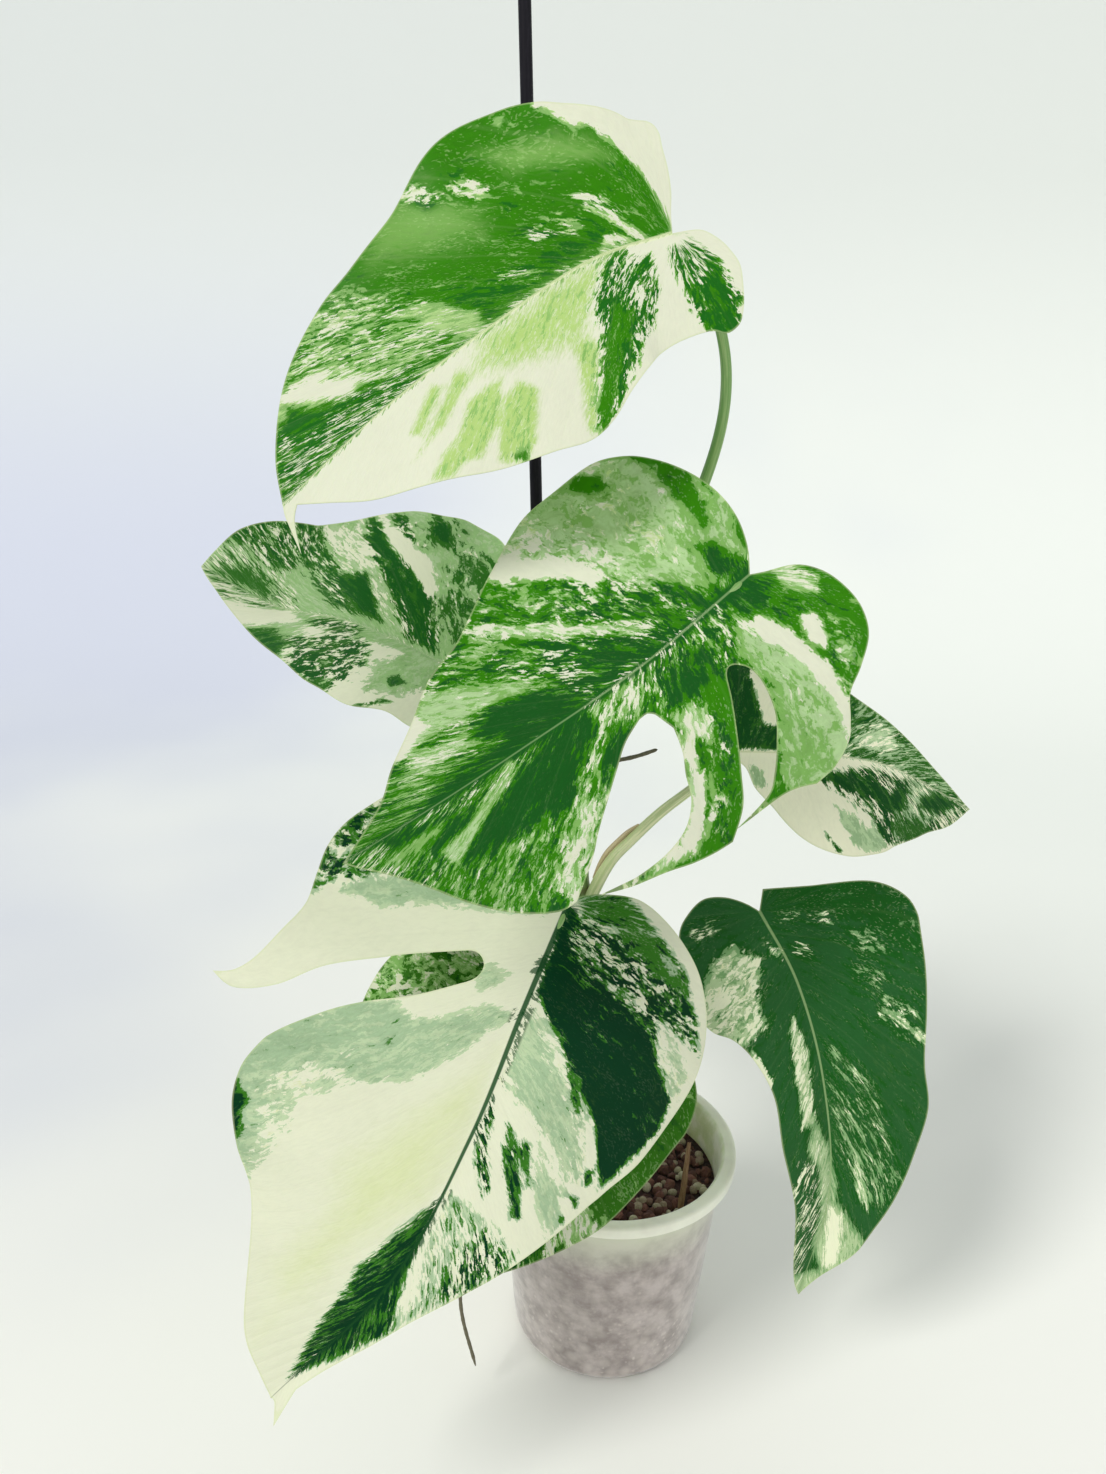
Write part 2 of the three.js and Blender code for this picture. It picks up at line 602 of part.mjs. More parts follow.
// Soil fills the pot, with a bumpy top, pale grains sunk in it and a plain hole for each thing in it.
function soil(standing) {
  const floor = POT_FLOOR + GAP;
  const side = (height) => potWallRadius(height) - POT_WALL - GAP;
  const footCentre = potWallRadius(POT_FOOT_ROUND) - POT_FOOT_ROUND;
  const cornerRadius = POT_FOOT_ROUND - POT_FLOOR - GAP;
  const profile = [
    [0, floor],
    ...roundedCorner(footCentre, POT_FOOT_ROUND, cornerRadius, -90, 0, FOOT_PIECES),
    [side(SOIL_LEVEL * 0.5) - SOIL_SLACK, SOIL_LEVEL * 0.5],
    [side(SOIL_LEVEL) - SOIL_SLACK, SOIL_LEVEL],
  ];
  for (let ring = SOIL_RINGS - 1; ring > 0; ring--) {
    profile.push([(side(SOIL_LEVEL) * ring) / SOIL_RINGS, SOIL_LEVEL]);
  }
  profile.push([0, SOIL_LEVEL]);
  const body = new THREE.LatheGeometry(
    profile.map(([radius, height]) => new THREE.Vector2(radius, height)),
    POT_SIDES / 2,
  );
  body.rotateX(Math.PI / 2);
  const position = body.attributes.position;
  for (let i = 0; i < position.count; i++) {
    const [x, y] = [position.getX(i), position.getY(i)];
    const isTop = position.getZ(i) === SOIL_LEVEL && Math.hypot(x, y) < side(SOIL_LEVEL) - SOIL_FLAT_RIM;
    if (isTop) position.setZ(i, SOIL_LEVEL + SOIL_RELIEF * soilBumps(x, y));
  }
  const draw = seeded(GRAIN_SEED);
  let whole = solid(body);
  for (let i = 0; i < GRAIN_COUNT; i++) {
    const radius = (side(SOIL_LEVEL) - GRAIN_MARGIN) * Math.sqrt(draw());
    const angle = 2 * Math.PI * draw();
    const grain = new THREE.IcosahedronGeometry(GRAIN_RADIUS * (0.7 + 0.5 * draw()), 0);
    grain.scale(1, 1, GRAIN_FLATNESS);
    grain.rotateZ(draw() * Math.PI);
    grain.translate(radius * Math.cos(angle), radius * Math.sin(angle), SOIL_LEVEL + GRAIN_LIFT);
    whole = whole.add(solid(grain));
  }
  for (const hole of standing) whole = whole.subtract(hole);
  return geometryOf(whole);
}

// The stake, or with a growth above 0 the hole that clears it by that much.
function stake(grow = 0) {
  const radius = STAKE_RADIUS + grow;
  const profile = [
    [0, -grow],
    [STAKE_POINT_RADIUS + grow, -grow],
    [radius, STAKE_POINT - grow],
    [radius, STAKE_LENGTH - 2 * STAKE_CHAMFER],
    [radius - STAKE_CHAMFER, STAKE_LENGTH],
    [0, STAKE_LENGTH],
  ].map(([x, y]) => new THREE.Vector2(x, y));
  const geometry = new THREE.LatheGeometry(profile, STAKE_SIDES);
  const direction = STAKE_TOP.clone().sub(STAKE_FOOT).normalize();
  geometry.applyQuaternion(new THREE.Quaternion().setFromUnitVectors(new THREE.Vector3(0, 1, 0), direction));
  geometry.translate(STAKE_FOOT.x, STAKE_FOOT.y, STAKE_FOOT.z);
  return geometry;
}

// Radii along the sheath and the stem, both wider by what is given, for the holes that they stand in.
const sheathRadius = (grow) => spindle(SHEATH_END_RADIUS + grow, SHEATH_SWELL);
const stemRadius = (grow) => taper(STEM_RADIUS + grow, STEM_TIP_RADIUS + grow);

const plant = new THREE.Group();
const stemKeepOut = solid(tube(STEM_PATH, stemRadius(GAP), STEM_STEPS, STEM_SIDES));
const stakeKeepOut = solid(stake(GAP));
const sheathKeepOut = solid(tube(SHEATH_PATH, sheathRadius(GAP), SHEATH_STEPS, STALK_SIDES));

plant.add(meshOf("pot", pot(), FINISH.pot));
plant.add(meshOf("soil", soil([stemKeepOut, stakeKeepOut, sheathKeepOut]), FINISH.soil));
plant.add(meshOf("stake", stake(), FINISH.stake));
plant.add(meshOf("main_stem", tube(STEM_PATH, stemRadius(0), STEM_STEPS, STEM_SIDES), FINISH.stem));
plant.add(meshOf("dry_sheath", tube(SHEATH_PATH, sheathRadius(0), SHEATH_STEPS, STALK_SIDES), FINISH.sheath));

for (const [name, path, radius] of [
  ["aerial_root_side", SIDE_ROOT_PATH, SIDE_ROOT_RADIUS],
  ["aerial_root_low", LOW_ROOT_PATH, LOW_ROOT_RADIUS],
]) {
  const root = solid(tube(path, taper(radius, radius * ROOT_TAPER), ROOT_STEPS, ROOT_SIDES));
  plant.add(meshOf(name, geometryOf(root.subtract(stemKeepOut)), FINISH.root));
}

for (const [letter, leaf] of Object.entries(LEAVES)) {
  plant.add(meshOf("leaf_" + letter, blade(leaf), FINISH.blade));
  plant.add(meshOf("petiole_" + letter, petiole(leaf, stemKeepOut), FINISH.petiole));
}

export default plant;
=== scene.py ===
"""A young variegated monstera in a milky nursery pot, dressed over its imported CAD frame.

Every class builds one sub-assembly in millimetres of the CAD frame, turns it into metres, gives it a
procedural finish and sets it in the place of the CAD nodes that it stands for.
"""

import enum
import logging
import math
from dataclasses import dataclass, field, replace
from typing import Any, ClassVar, Iterable, Sequence

import bpy
import numpy as np
from mathutils import Matrix, Vector
from mathutils.geometry import delaunay_2d_cdt


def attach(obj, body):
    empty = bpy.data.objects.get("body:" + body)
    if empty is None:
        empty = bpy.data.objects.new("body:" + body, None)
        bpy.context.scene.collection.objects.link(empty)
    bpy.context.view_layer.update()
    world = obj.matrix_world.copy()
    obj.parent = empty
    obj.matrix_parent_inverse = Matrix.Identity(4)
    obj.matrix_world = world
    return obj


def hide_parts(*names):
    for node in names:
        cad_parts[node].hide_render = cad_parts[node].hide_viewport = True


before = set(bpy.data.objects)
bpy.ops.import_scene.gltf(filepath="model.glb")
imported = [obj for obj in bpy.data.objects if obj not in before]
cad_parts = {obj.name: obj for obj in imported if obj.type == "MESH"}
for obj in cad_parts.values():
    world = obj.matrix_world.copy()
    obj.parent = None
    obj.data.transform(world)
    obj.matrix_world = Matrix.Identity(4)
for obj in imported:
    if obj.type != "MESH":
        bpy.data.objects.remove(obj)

MM = 0.001
SEED = 4514
VEIN_PITCH = 11.0
LOG = logging.getLogger("monstera")

Point = Sequence[float]
Path = Sequence[Point]
Colour = tuple[float, float, float]
Constants = tuple[tuple[str, Any], ...]
Array = np.ndarray
Piece = bpy.types.Object
Tree = bpy.types.NodeTree
Socket = bpy.types.NodeSocket


# Node trees


class Wire:
    """A number that comes out of a node, with arithmetic that adds nodes."""

    def __init__(self, board: "Board", socket: Socket) -> None:
        """Keeps the socket and the board that it is on."""
        self.board = board
        self.socket = socket

    def _with(self, operation: str, *others: Any) -> "Wire":
        """The result of a maths node that takes this number first."""
        return self.board.math(operation, self, *others)

    def __add__(self, other: Any) -> "Wire":
        """Sum."""
        return self._with("ADD", other)

    __radd__ = __add__

    def __sub__(self, other: Any) -> "Wire":
        """Difference."""
        return self._with("SUBTRACT", other)

    def __rsub__(self, other: Any) -> "Wire":
        """Difference with this number second."""
        return self.board.math("SUBTRACT", other, self)

    def __mul__(self, other: Any) -> "Wire":
        """Product."""
        return self._with("MULTIPLY", other)

    __rmul__ = __mul__

    def __truediv__(self, other: Any) -> "Wire":
        """Quotient."""
        return self._with("DIVIDE", other)

    def __abs__(self) -> "Wire":
        """Size without sign."""
        return self._with("ABSOLUTE")

    def fraction(self) -> "Wire":
        """What is left above the whole number below."""
        return self._with("FRACT")

    def most(self, other: Any) -> "Wire":
        """The larger of two."""
        return self._with("MAXIMUM", other)

    def rise(self, low: float, high: float) -> "Wire":
        """A smooth step from 0 at low to 1 at high."""
        node = self.board.node(
            "ShaderNodeMapRange",
            {"interpolation_type": "SMOOTHSTEP"},
            {"Value": self, "From Min": low, "From Max": high},
        )
        return Wire(self.board, node.outputs["Result"])

    def fall(self, low: float, high: float) -> "Wire":
        """A smooth step from 1 at low to 0 at high."""
        return 1 - self.rise(low, high)


class Board:
    """A node tree with short ways to add nodes to it."""

    def __init__(self, tree: Tree) -> None:
        """Takes over an empty or a fresh tree."""
        self.tree = tree

    def node(
        self, kind: str, settings: dict[str, Any] | None = None, inputs: dict[str, Any] | None = None
    ) -> bpy.types.Node:
        """Adds a node.

        Args:
            kind: The node's type.
            settings: Properties that are set before its sockets are filled.
            inputs: Values, sockets or wires, by the socket's identifier or name.

        Returns:
            The new node.
        """
        node = self.tree.nodes.new(kind)
        for name, value in (settings or {}).items():
            setattr(node, name, value)
        for name, value in (inputs or {}).items():
            self.feed(self.socket_of(node, name), value)
        return node

    @staticmethod
    def socket_of(node: bpy.types.Node, name: str) -> Socket:
        """The input with that identifier, or else with that name."""
        by_identifier = {socket.identifier: socket for socket in node.inputs}
        return by_identifier.get(name) or node.inputs[name]

    def feed(self, socket: Socket, value: Any) -> None:
        """Links a wire or a socket into an input, or sets a plain value there."""
        if isinstance(value, Wire):
            value = value.socket
        if isinstance(value, Socket):
            self.tree.links.new(value, socket)
        elif isinstance(value, tuple) and socket.type == "RGBA":
            socket.default_value = (*value[:3], 1.0)
        else:
            socket.default_value = value

    def math(self, operation: str, *values: Any) -> Wire:
        """The output of one maths node."""
        node = self.node("ShaderNodeMath", {"operation": operation})
        for socket, value in zip(node.inputs, values):
            self.feed(socket, value)
        return Wire(self, node.outputs[0])

    def attribute(self, name: str) -> Socket:
        """A mesh attribute as a vector."""
        return self.node("ShaderNodeAttribute", {"attribute_name": name}).outputs["Vector"]

    def number(self, name: str) -> Wire:
        """A mesh attribute as a number."""
        return Wire(self, self.node("ShaderNodeAttribute", {"attribute_name": name}).outputs["Fac"])

    def split(self, vector: Socket) -> list[Wire]:
        """The three numbers of a vector."""
        node = self.node("ShaderNodeSeparateXYZ", None, {"Vector": vector})
        return [Wire(self, socket) for socket in node.outputs]

    def join(self, x: Any, y: Any, z: Any) -> Socket:
        """A vector of three numbers."""
        return self.node("ShaderNodeCombineXYZ", None, {"X": x, "Y": y, "Z": z}).outputs[0]

    def place(self) -> Socket:
        """Object coordinates."""
        return self.node("ShaderNodeTexCoord").outputs["Object"]

    def noise(self, vector: Any, scale: float, detail: float = 2.0, roughness: float = 0.5) -> Wire:
        """Soft noise about 0.5."""
        inputs = {"Vector": vector, "Scale": scale, "Detail": detail, "Roughness": roughness}
        return Wire(self, self.node("ShaderNodeTexNoise", None, inputs).outputs["Fac"])

    def cells(self, vector: Any, scale: float) -> bpy.types.Node:
        """A cell texture's node."""
        return self.node("ShaderNodeTexVoronoi", None, {"Vector": vector, "Scale": scale})

    def mix(self, share: Any, first: Any, second: Any) -> Socket:
        """A colour between two others."""
        inputs = {"Factor_Float": share, "A_Color": first, "B_Color": second}
        node = self.node("ShaderNodeMix", {"data_type": "RGBA"}, inputs)
        return next(socket for socket in node.outputs if socket.identifier == "Result_Color")

    def around(self) -> tuple[Wire, Wire]:
        """The cosine and the sine of the turn round a swept body."""
        turn = self.number("girth") * 2 * math.pi
        return self.math("COSINE", turn), self.math("SINE", turn)

    def skin(
        self, colour: Any, roughness: Wire, height: Any, strength: float, distance: float = MM
    ) -> dict[str, Any]:
        """What a finish feeds the shader.

        Args:
            colour: The base colour.
            roughness: How rough the surface is.
            height: The relief, in millimetres where the distance is left as it is.
            strength: The relief's share.
            distance: What a height of 1 stands for, in metres.

        Returns:
            The values by socket name.
        """
        inputs = {"Height": height, "Distance": distance, "Strength": strength}
        normal = self.node("ShaderNodeBump", None, inputs).outputs["Normal"]
        return {"Base Color": colour, "Roughness": roughness, "Normal": normal}


# Finishes


@dataclass(frozen=True)
class Finish:
    """A procedural material: constants on the shader's sockets, and what varies over the surface."""

    name: str
    constants: Constants = ()

    def material(self) -> bpy.types.Material:
        """The finish as a new material."""
        made = bpy.data.materials.new(self.name)
        made.use_nodes = True
        made.node_tree.nodes.clear()
        board = Board(made.node_tree)
        inputs = {**dict(self.constants), **self.dress(board)}
        shader = board.node("ShaderNodeBsdfPrincipled", None, inputs)
        board.node("ShaderNodeOutputMaterial", None, {"Surface": shader.outputs["BSDF"]})
        return made

    def dress(self, board: Board) -> dict[str, Any]:
        """What feeds the shader, by socket name."""
        raise NotImplementedError


@dataclass(frozen=True)
class LeafFinish(Finish):
    """Leaf tissue: cream and green sectors, streaks along the veins, veins, a paler underside, and painted
    highlight and glow where the marks ask for them.
    """

    SIDE_SHIFT: ClassVar[float] = 31.7

    dark: Colour = (0.012, 0.14, 0.009)
    green: Colour = (0.035, 0.22, 0.002)
    sage: Colour = (0.24, 0.47, 0.13)
    mint: Colour = (0.44, 0.66, 0.28)
    cream: Colour = (0.75, 0.77, 0.6)
    # glow: the cream's lime tint, and on leaf d a painted glow of light through the blade
    glow: Colour = (0.66, 0.74, 0.34)
    # lit: the colour of the painted highlight laid over the green
    lit: Colour = (0.26, 0.5, 0.12)
    murk: Colour = (0.0, 0.02, 0.0)
    edge: Colour = (0.6, 0.68, 0.36)
    back: Colour = (0.36, 0.5, 0.24)
    rib: Colour = (0.5, 0.6, 0.3)
    rib_cream: Colour = (0.72, 0.76, 0.46)
    rib_share: float = 0.8
    rib_shade: float = 0.3
    rib_width: float = 1.0
    vein_share: float = 0.04
    turn: float = 0.0
    constants: Constants = (
        ("Subsurface Weight", 0.05),
        ("Subsurface Radius", (0.6, 1.0, 0.3)),
        ("Subsurface Scale", 0.0005),
        ("Specular IOR Level", 0.06),
    )

    def dress(self, board: Board) -> dict[str, Any]:
        """What feeds the shader, by socket name."""
        across, along, rim = board.split(board.attribute("flat"))
        start, reach, side = board.split(board.attribute("vein"))
        cream, tone, fleck = board.split(board.attribute("marks"))
        # tint: how much painted highlight the green takes and how much glow colour the cream takes
        tint = board.number("tint")
        under = board.number("under")
        turn = side * self.SIDE_SHIFT + self.turn
        sheet = board.join(across, along, turn)
        bent = start + (board.noise(sheet, 0.1) - 0.5) * 4.0
        ragged = bent + (board.noise(sheet, 1.3, 3.0, 0.6) - 0.5) * 1.2
        drawn = reach + (board.noise(sheet, 0.7, 3.0, 0.6) - 0.5) * 5.0

        def streaks(thin: float, long: float, shift: float) -> Wire:
            """Soft noise drawn out along the veins, about 0."""
            place = board.join(bent / thin, reach / long, turn + shift)
            return board.noise(place, 1.0, 3.0, 0.58) - 0.5

        def mosaic(thin: float, long: float, shift: float) -> list[Wire]:
            """Three numbers about 0 for each ragged cell of a net drawn out along the veins."""
            place = board.join(ragged / thin, drawn / long, turn + shift)
            return [value - 0.5 for value in board.split(board.cells(place, 1.0).outputs["Color"])]

        broad = streaks(3.6, 18.0, 0.0)
        shade = streaks(2.4, 13.0, 14.0)
        fine = streaks(0.8, 4.0, 5.0)
        large = mosaic(2.3, 7.0, 3.0)
        small = mosaic(0.9, 2.6, 7.0)
        dots = board.noise(board.join(bent / 0.4, reach / 1.5, turn + 11.0), 1.0, 1.0) - 0.5
        patch = board.noise(sheet, 0.035) - 0.5
        cells = board.noise(sheet, 2.6, 2.0, 0.6) - 0.5

        broken = broad * 1.6 + large[0] * 0.38 + small[0] * 0.54 + fine * 1.7
        between = cream * (1 - cream) * 4
        split = cream + broken * (fleck * 0.5 + between * 0.45 + 0.05)
        cream_mask = split.rise(0.47, 0.53)
        level = tone + (shade * 2.0 + large[1] * 0.36 + small[1] * 0.5) * (fleck * 0.48 + 0.1)
        level = level + split.rise(0.22, 0.47) * (fleck * 0.3 + 0.06)
        grain = fine * 1.6 + small[2] * 0.5 + dots * 0.8
        leaf = board.mix(level.rise(0.17, 0.29), self.dark, self.green)
        leaf = board.mix(level.rise(0.46, 0.54), leaf, self.sage)
        lightest = (level + grain * (fleck * 0.3 + 0.14)).rise(0.68, 0.84)
        leaf = board.mix(lightest, leaf, self.mint)
        # Painted highlight: the lit colour over the green where the tint asks for it
        lit = (tint + patch * 0.5 + fine * 0.8).rise(0.05, 0.95)
        leaf = board.mix(lit * 0.75, leaf, self.lit)
        dust = (dots + broad * 0.6 + fleck * 0.05).rise(0.14, 0.2)
        leaf = board.mix(dust * (level.rise(0.1, 0.4) * 0.27 + 0.03), leaf, self.mint)
        # The cream turns to the glow colour with the tint: a lime tint, and a painted glow on leaf d
        flush = tint + patch * 0.4 + grain * (fleck + 0.1)
        pale = board.mix(flush.rise(0.15, 0.9), self.cream, self.glow)
        body = board.mix(cream_mask, leaf, pale)
        murk = (cells * 0.6 + fine * 1.6 + patch + 0.4).rise(0.0, 1.0)
        body = board.mix(murk * (0.22 - cream_mask * 0.15), body, self.murk)

        nearest = abs((start / VEIN_PITCH + 0.5).fraction() - 0.5) * VEIN_PITCH
        veined = start.rise(-40.0, -20.0)
        lateral = nearest.fall(0.12, 0.6) * veined
        body = board.mix(lateral * self.vein_share, body, self.rib)
        width = (1.6 - along.most(0.0) * 0.0075) * self.rib_width
        beside = (abs(across) - width * 1.5).fall(0.0, 1.4) * along.rise(-2.0, 2.0)
        body = board.mix(beside * self.rib_shade * (1 - cream_mask), body, self.dark)
        middle = (abs(across) - width * 0.45).fall(-0.2, 0.3) * along.rise(-1.0, 1.0)
        rib = board.mix(cream_mask, self.rib, self.rib_cream)
        body = board.mix(middle * self.rib_share, body, rib)
        body = board.mix(rim.fall(0.25, 0.8) * 0.35, body, self.edge)
        body = board.mix(under, body, board.mix(0.4, body, self.back))

        quilt = (nearest * (math.pi / VEIN_PITCH)).most(0.0)
        relief = board.math("SINE", quilt) * 0.22 * veined * reach.rise(0.0, 14.0)
        height = relief + (fine * 0.12 + cells * 0.02) * (1 - cream_mask * 0.7)
        roughness = 0.4 + fine * 0.16 + cells * 0.12 + under * 0.2 + cream_mask * 0.04
        return board.skin(body, roughness, height, 0.6)


DEEP_LEAF = LeafFinish(
    "leaf_deep",
    dark=(0.006, 0.075, 0.011),
    green=(0.03, 0.15, 0.014),
    sage=(0.2, 0.38, 0.15),
    mint=(0.42, 0.58, 0.31),
    cream=(0.76, 0.78, 0.59),
)


@dataclass(frozen=True)
class StalkFinish(Finish):
    """Smooth living stalk with long streaks, darker rings and a tint that can change along it."""

    base: Colour = (0.12, 0.28, 0.05)
    streak: Colour = (0.4, 0.5, 0.2)
    upper: Colour = (0.16, 0.34, 0.07)
    upper_share: float = 0.0
    ring: Colour = (0.16, 0.1, 0.05)
    amount: float = 0.5
    constants: Constants = (
        ("Subsurface Weight", 0.1),
        ("Subsurface Radius", (0.6, 1.0, 0.3)),
        ("Subsurface Scale", 0.002),
    )

    def dress(self, board: Board) -> dict[str, Any]:
        """What feeds the shader, by socket name."""
        along = board.number("along")
        ring = board.number("ring")
        x, y = board.around()
        lines = board.noise(board.join(x * 2.2, y * 2.2, along * 0.035), 1.0, 4.0, 0.6)
        soft = board.noise(board.join(x * 0.7, y * 0.7, along * 0.02), 1.0, 2.0, 0.5)
        spots = board.noise(board.place(), 900.0, 2.0, 0.6)
        colour = board.mix((lines + soft * 0.5).rise(0.62, 0.95) * self.amount, self.base, self.streak)
        if self.upper_share:
            top = along.rise(0.35, 0.75) * self.upper_share
            colour = board.mix(top * lines.rise(0.42, 0.52), colour, self.upper)
        colour = board.mix(ring * (0.5 + spots * 0.5), colour, self.ring)
        height = lines * 0.25 + spots * 0.06 - ring * 0.2
        return board.skin(colour, 0.34 + spots * 0.14 + ring * 0.25, height, 0.6)


@dataclass(frozen=True)
class RootFinish(Finish):
    """Dry rough skin with lengthwise cracks."""

    base: Colour = (0.09, 0.075, 0.045)
    pale: Colour = (0.26, 0.25, 0.16)

    def dress(self, board: Board) -> dict[str, Any]:
        """What feeds the shader, by socket name."""
        along = board.number("along")
        x, y = board.around()
        cracks = board.noise(board.join(x * 2, y * 2, along * 9.0), 1.0, 4.0, 0.65)
        dust = board.noise(board.place(), 1500.0, 3.0, 0.6)
        colour = board.mix(cracks.rise(0.4, 0.68), self.base, self.pale)
        return board.skin(colour, 0.68 + dust * 0.25, cracks * 0.3 + dust * 0.15, 0.8)


@dataclass(frozen=True)
class SheathFinish(Finish):
    """Papery dried sheath with fibres along it."""

    base: Colour = (0.2, 0.1, 0.05)
    pale: Colour = (0.42, 0.27, 0.15)

    def dress(self, board: Board) -> dict[str, Any]:
        """What feeds the shader, by socket name."""
        across, along, _ = board.split(board.attribute("flat"))
        fibres = board.noise(board.join(across * 3.0, along * 0.12, 0.0), 1.0, 4.0, 0.65)
        blots = board.noise(board.place(), 160.0, 2.0, 0.5)
        colour = board.mix(fibres.rise(0.35, 0.68), self.base, self.pale)
        colour = board.mix(blots.rise(0.5, 0.7) * 0.5, colour, self.base)
        return board.skin(colour, 0.75 + fibres * 0.2, fibres * 0.4, 0.8)


@dataclass(frozen=True)
class PotFinish(Finish):
    """Milky plastic with an algae tint at the lip and stained grains that show through the wall."""

    milk: Colour = (0.62, 0.55, 0.52)
    stain: Colour = (0.28, 0.235, 0.22)
    lip: Colour = (0.93, 0.95, 0.78)
    band: Colour = (0.64, 0.67, 0.52)
    grain: Colour = (0.7, 0.64, 0.58)
    algae: Colour = (0.56, 0.68, 0.3)
    soil_top: float = 84.0
    constants: Constants = (
        ("Subsurface Weight", 0.25),
        ("Subsurface Radius", (1.0, 0.9, 0.7)),
        ("Subsurface Scale", 0.004),
        ("Specular IOR Level", 0.4),
        ("Sheen Weight", 0.8),
        ("Sheen Roughness", 0.4),
    )

    def dress(self, board: Board) -> dict[str, Any]:
        """What feeds the shader, by socket name."""
        place = board.place()
        _, _, height = board.split(place)
        height = height / MM
        inner = board.number("inner")
        cloud = board.noise(place, 38.0, 4.0, 0.6)
        murk = board.noise(place, 95.0, 4.0, 0.65)
        dirt = board.noise(place, 420.0, 3.0, 0.7)
        wobble = height + (cloud - 0.5) * 22
        filled = wobble.fall(self.soil_top - 4, self.soil_top + 7)
        colour = board.mix(murk.rise(0.3, 0.72) * 0.8, self.stain, self.milk)
        large = Wire(board, board.cells(place, 150.0).outputs["Distance"])
        small = Wire(board, board.cells(place, 310.0).outputs["Distance"])
        seen = (large + (murk - 0.5) * 0.9).fall(0.1, 0.6) * 0.36
        seen = seen.most((small + (dirt - 0.5) * 0.7).fall(0.05, 0.4) * cloud.rise(0.35, 0.6) * 0.6)
        low = height.fall(10.0, 60.0) * 0.75 + 0.45
        colour = board.mix(seen * low, colour, self.grain)
        above = board.mix(height.rise(92.0, 99.0), self.band, self.lip)
        above = board.mix(cloud.rise(0.35, 0.7) * 0.4, above, self.milk)
        colour = board.mix(filled, above, colour)
        scum = (height + (murk - 0.5) * 16).fall(self.soil_top - 16, self.soil_top + 2)
        colour = board.mix((1 - scum) * filled * 0.6, colour, self.band)
        algae = board.mix(murk.rise(0.35, 0.65), self.lip, self.algae)
        colour = board.mix(inner * 0.6, colour, algae)
        ridges = board.math("SINE", height * 2.4) * 0.02
        return board.skin(colour, 0.36 + dirt * 0.22, ridges + dirt * 0.04 + murk * 0.1, 0.5)


@dataclass(frozen=True)
class SoilFinish(Finish):
    """Dark damp mix between the chunks."""

    dark: Colour = (0.02, 0.008, 0.008)
    brown: Colour = (0.1, 0.036, 0.03)

    def dress(self, board: Board) -> dict[str, Any]:
        """What feeds the shader, by socket name."""
        place = board.place()
        crumbs = board.noise(place, 420.0, 5.0, 0.7)
        clods = board.noise(place, 120.0, 3.0, 0.6)
        colour = board.mix((crumbs * 0.6 + clods * 0.4).rise(0.4, 0.66), self.dark, self.brown)
        return board.skin(colour, 0.8 + crumbs * 0.2, crumbs + clods, 0.9, 2 * MM)


@dataclass(frozen=True)
class ChunkFinish(Finish):
    """Chunks of the mix, each with its own shade between two colours."""

    first: Colour = (0.06, 0.019, 0.017)
    second: Colour = (0.24, 0.1, 0.075)
    fleck: Colour = (0.3, 0.2, 0.13)

    def dress(self, board: Board) -> dict[str, Any]:
        """What feeds the shader, by socket name."""
        place = board.place()
        crust = board.noise(place, 900.0, 4.0, 0.7)
        colour = board.mix(board.number("shade"), self.first, self.second)
        colour = board.mix(crust.rise(0.55, 0.8) * 0.6, colour, self.fleck)
        return board.skin(colour, 0.7 + crust * 0.25, crust, 0.7)


@dataclass(frozen=True)
class StakeFinish(Finish):
    """Black coated stake with faint rubbed streaks."""

    base: Colour = (0.006, 0.005, 0.009)
    worn: Colour = (0.02, 0.017, 0.026)
    constants: Constants = (("Specular IOR Level", 0.18),)

    def dress(self, board: Board) -> dict[str, Any]:
        """What feeds the shader, by socket name."""
        place = board.place()
        x, y, z = board.split(place)
        rub = board.noise(board.join(x * 6, y * 6, z * 0.6), 120.0, 4.0, 0.6)
        dust = board.noise(place, 700.0, 3.0, 0.6)
        colour = board.mix(rub.rise(0.45, 0.75) * 0.7, self.base, self.worn)
        return board.skin(colour, 0.4 + dust * 0.2, dust * 0.1 + rub * 0.08, 0.6)


@dataclass(frozen=True)
class BackdropFinish(Finish):
    """Pale paper with painted shade: darker towards the back and the right, and a lavender painted shadow
    low on the left.
    """

    near: Colour = (0.92, 0.92, 0.87)
    far: Colour = (0.8, 0.83, 0.79)
    shade: Colour = (0.62, 0.65, 0.75)
    constants: Constants = (("Roughness", 0.9),)

    def dress(self, board: Board) -> dict[str, Any]:
        """What feeds the shader, by socket name."""
        place = board.place()
        x, y, z = board.split(place)
        cloud = board.noise(place, 2.2, 2.0, 0.5)
        # Painted shade: the paper darkens towards the back and the right
        colour = board.mix((y * 0.9 + x * 0.3 + cloud * 0.3).rise(0.0, 1.0), self.near, self.far)
        # Painted shadow: a lavender patch low on the left
        painted_shadow = (cloud * 0.8 - x * 0.6 + y * 0.25).rise(0.45, 1.15) * z.fall(0.1, 0.8)
        colour = board.mix(painted_shadow, colour, self.shade)
        return {"Base Color": colour}


# Curves and meshes


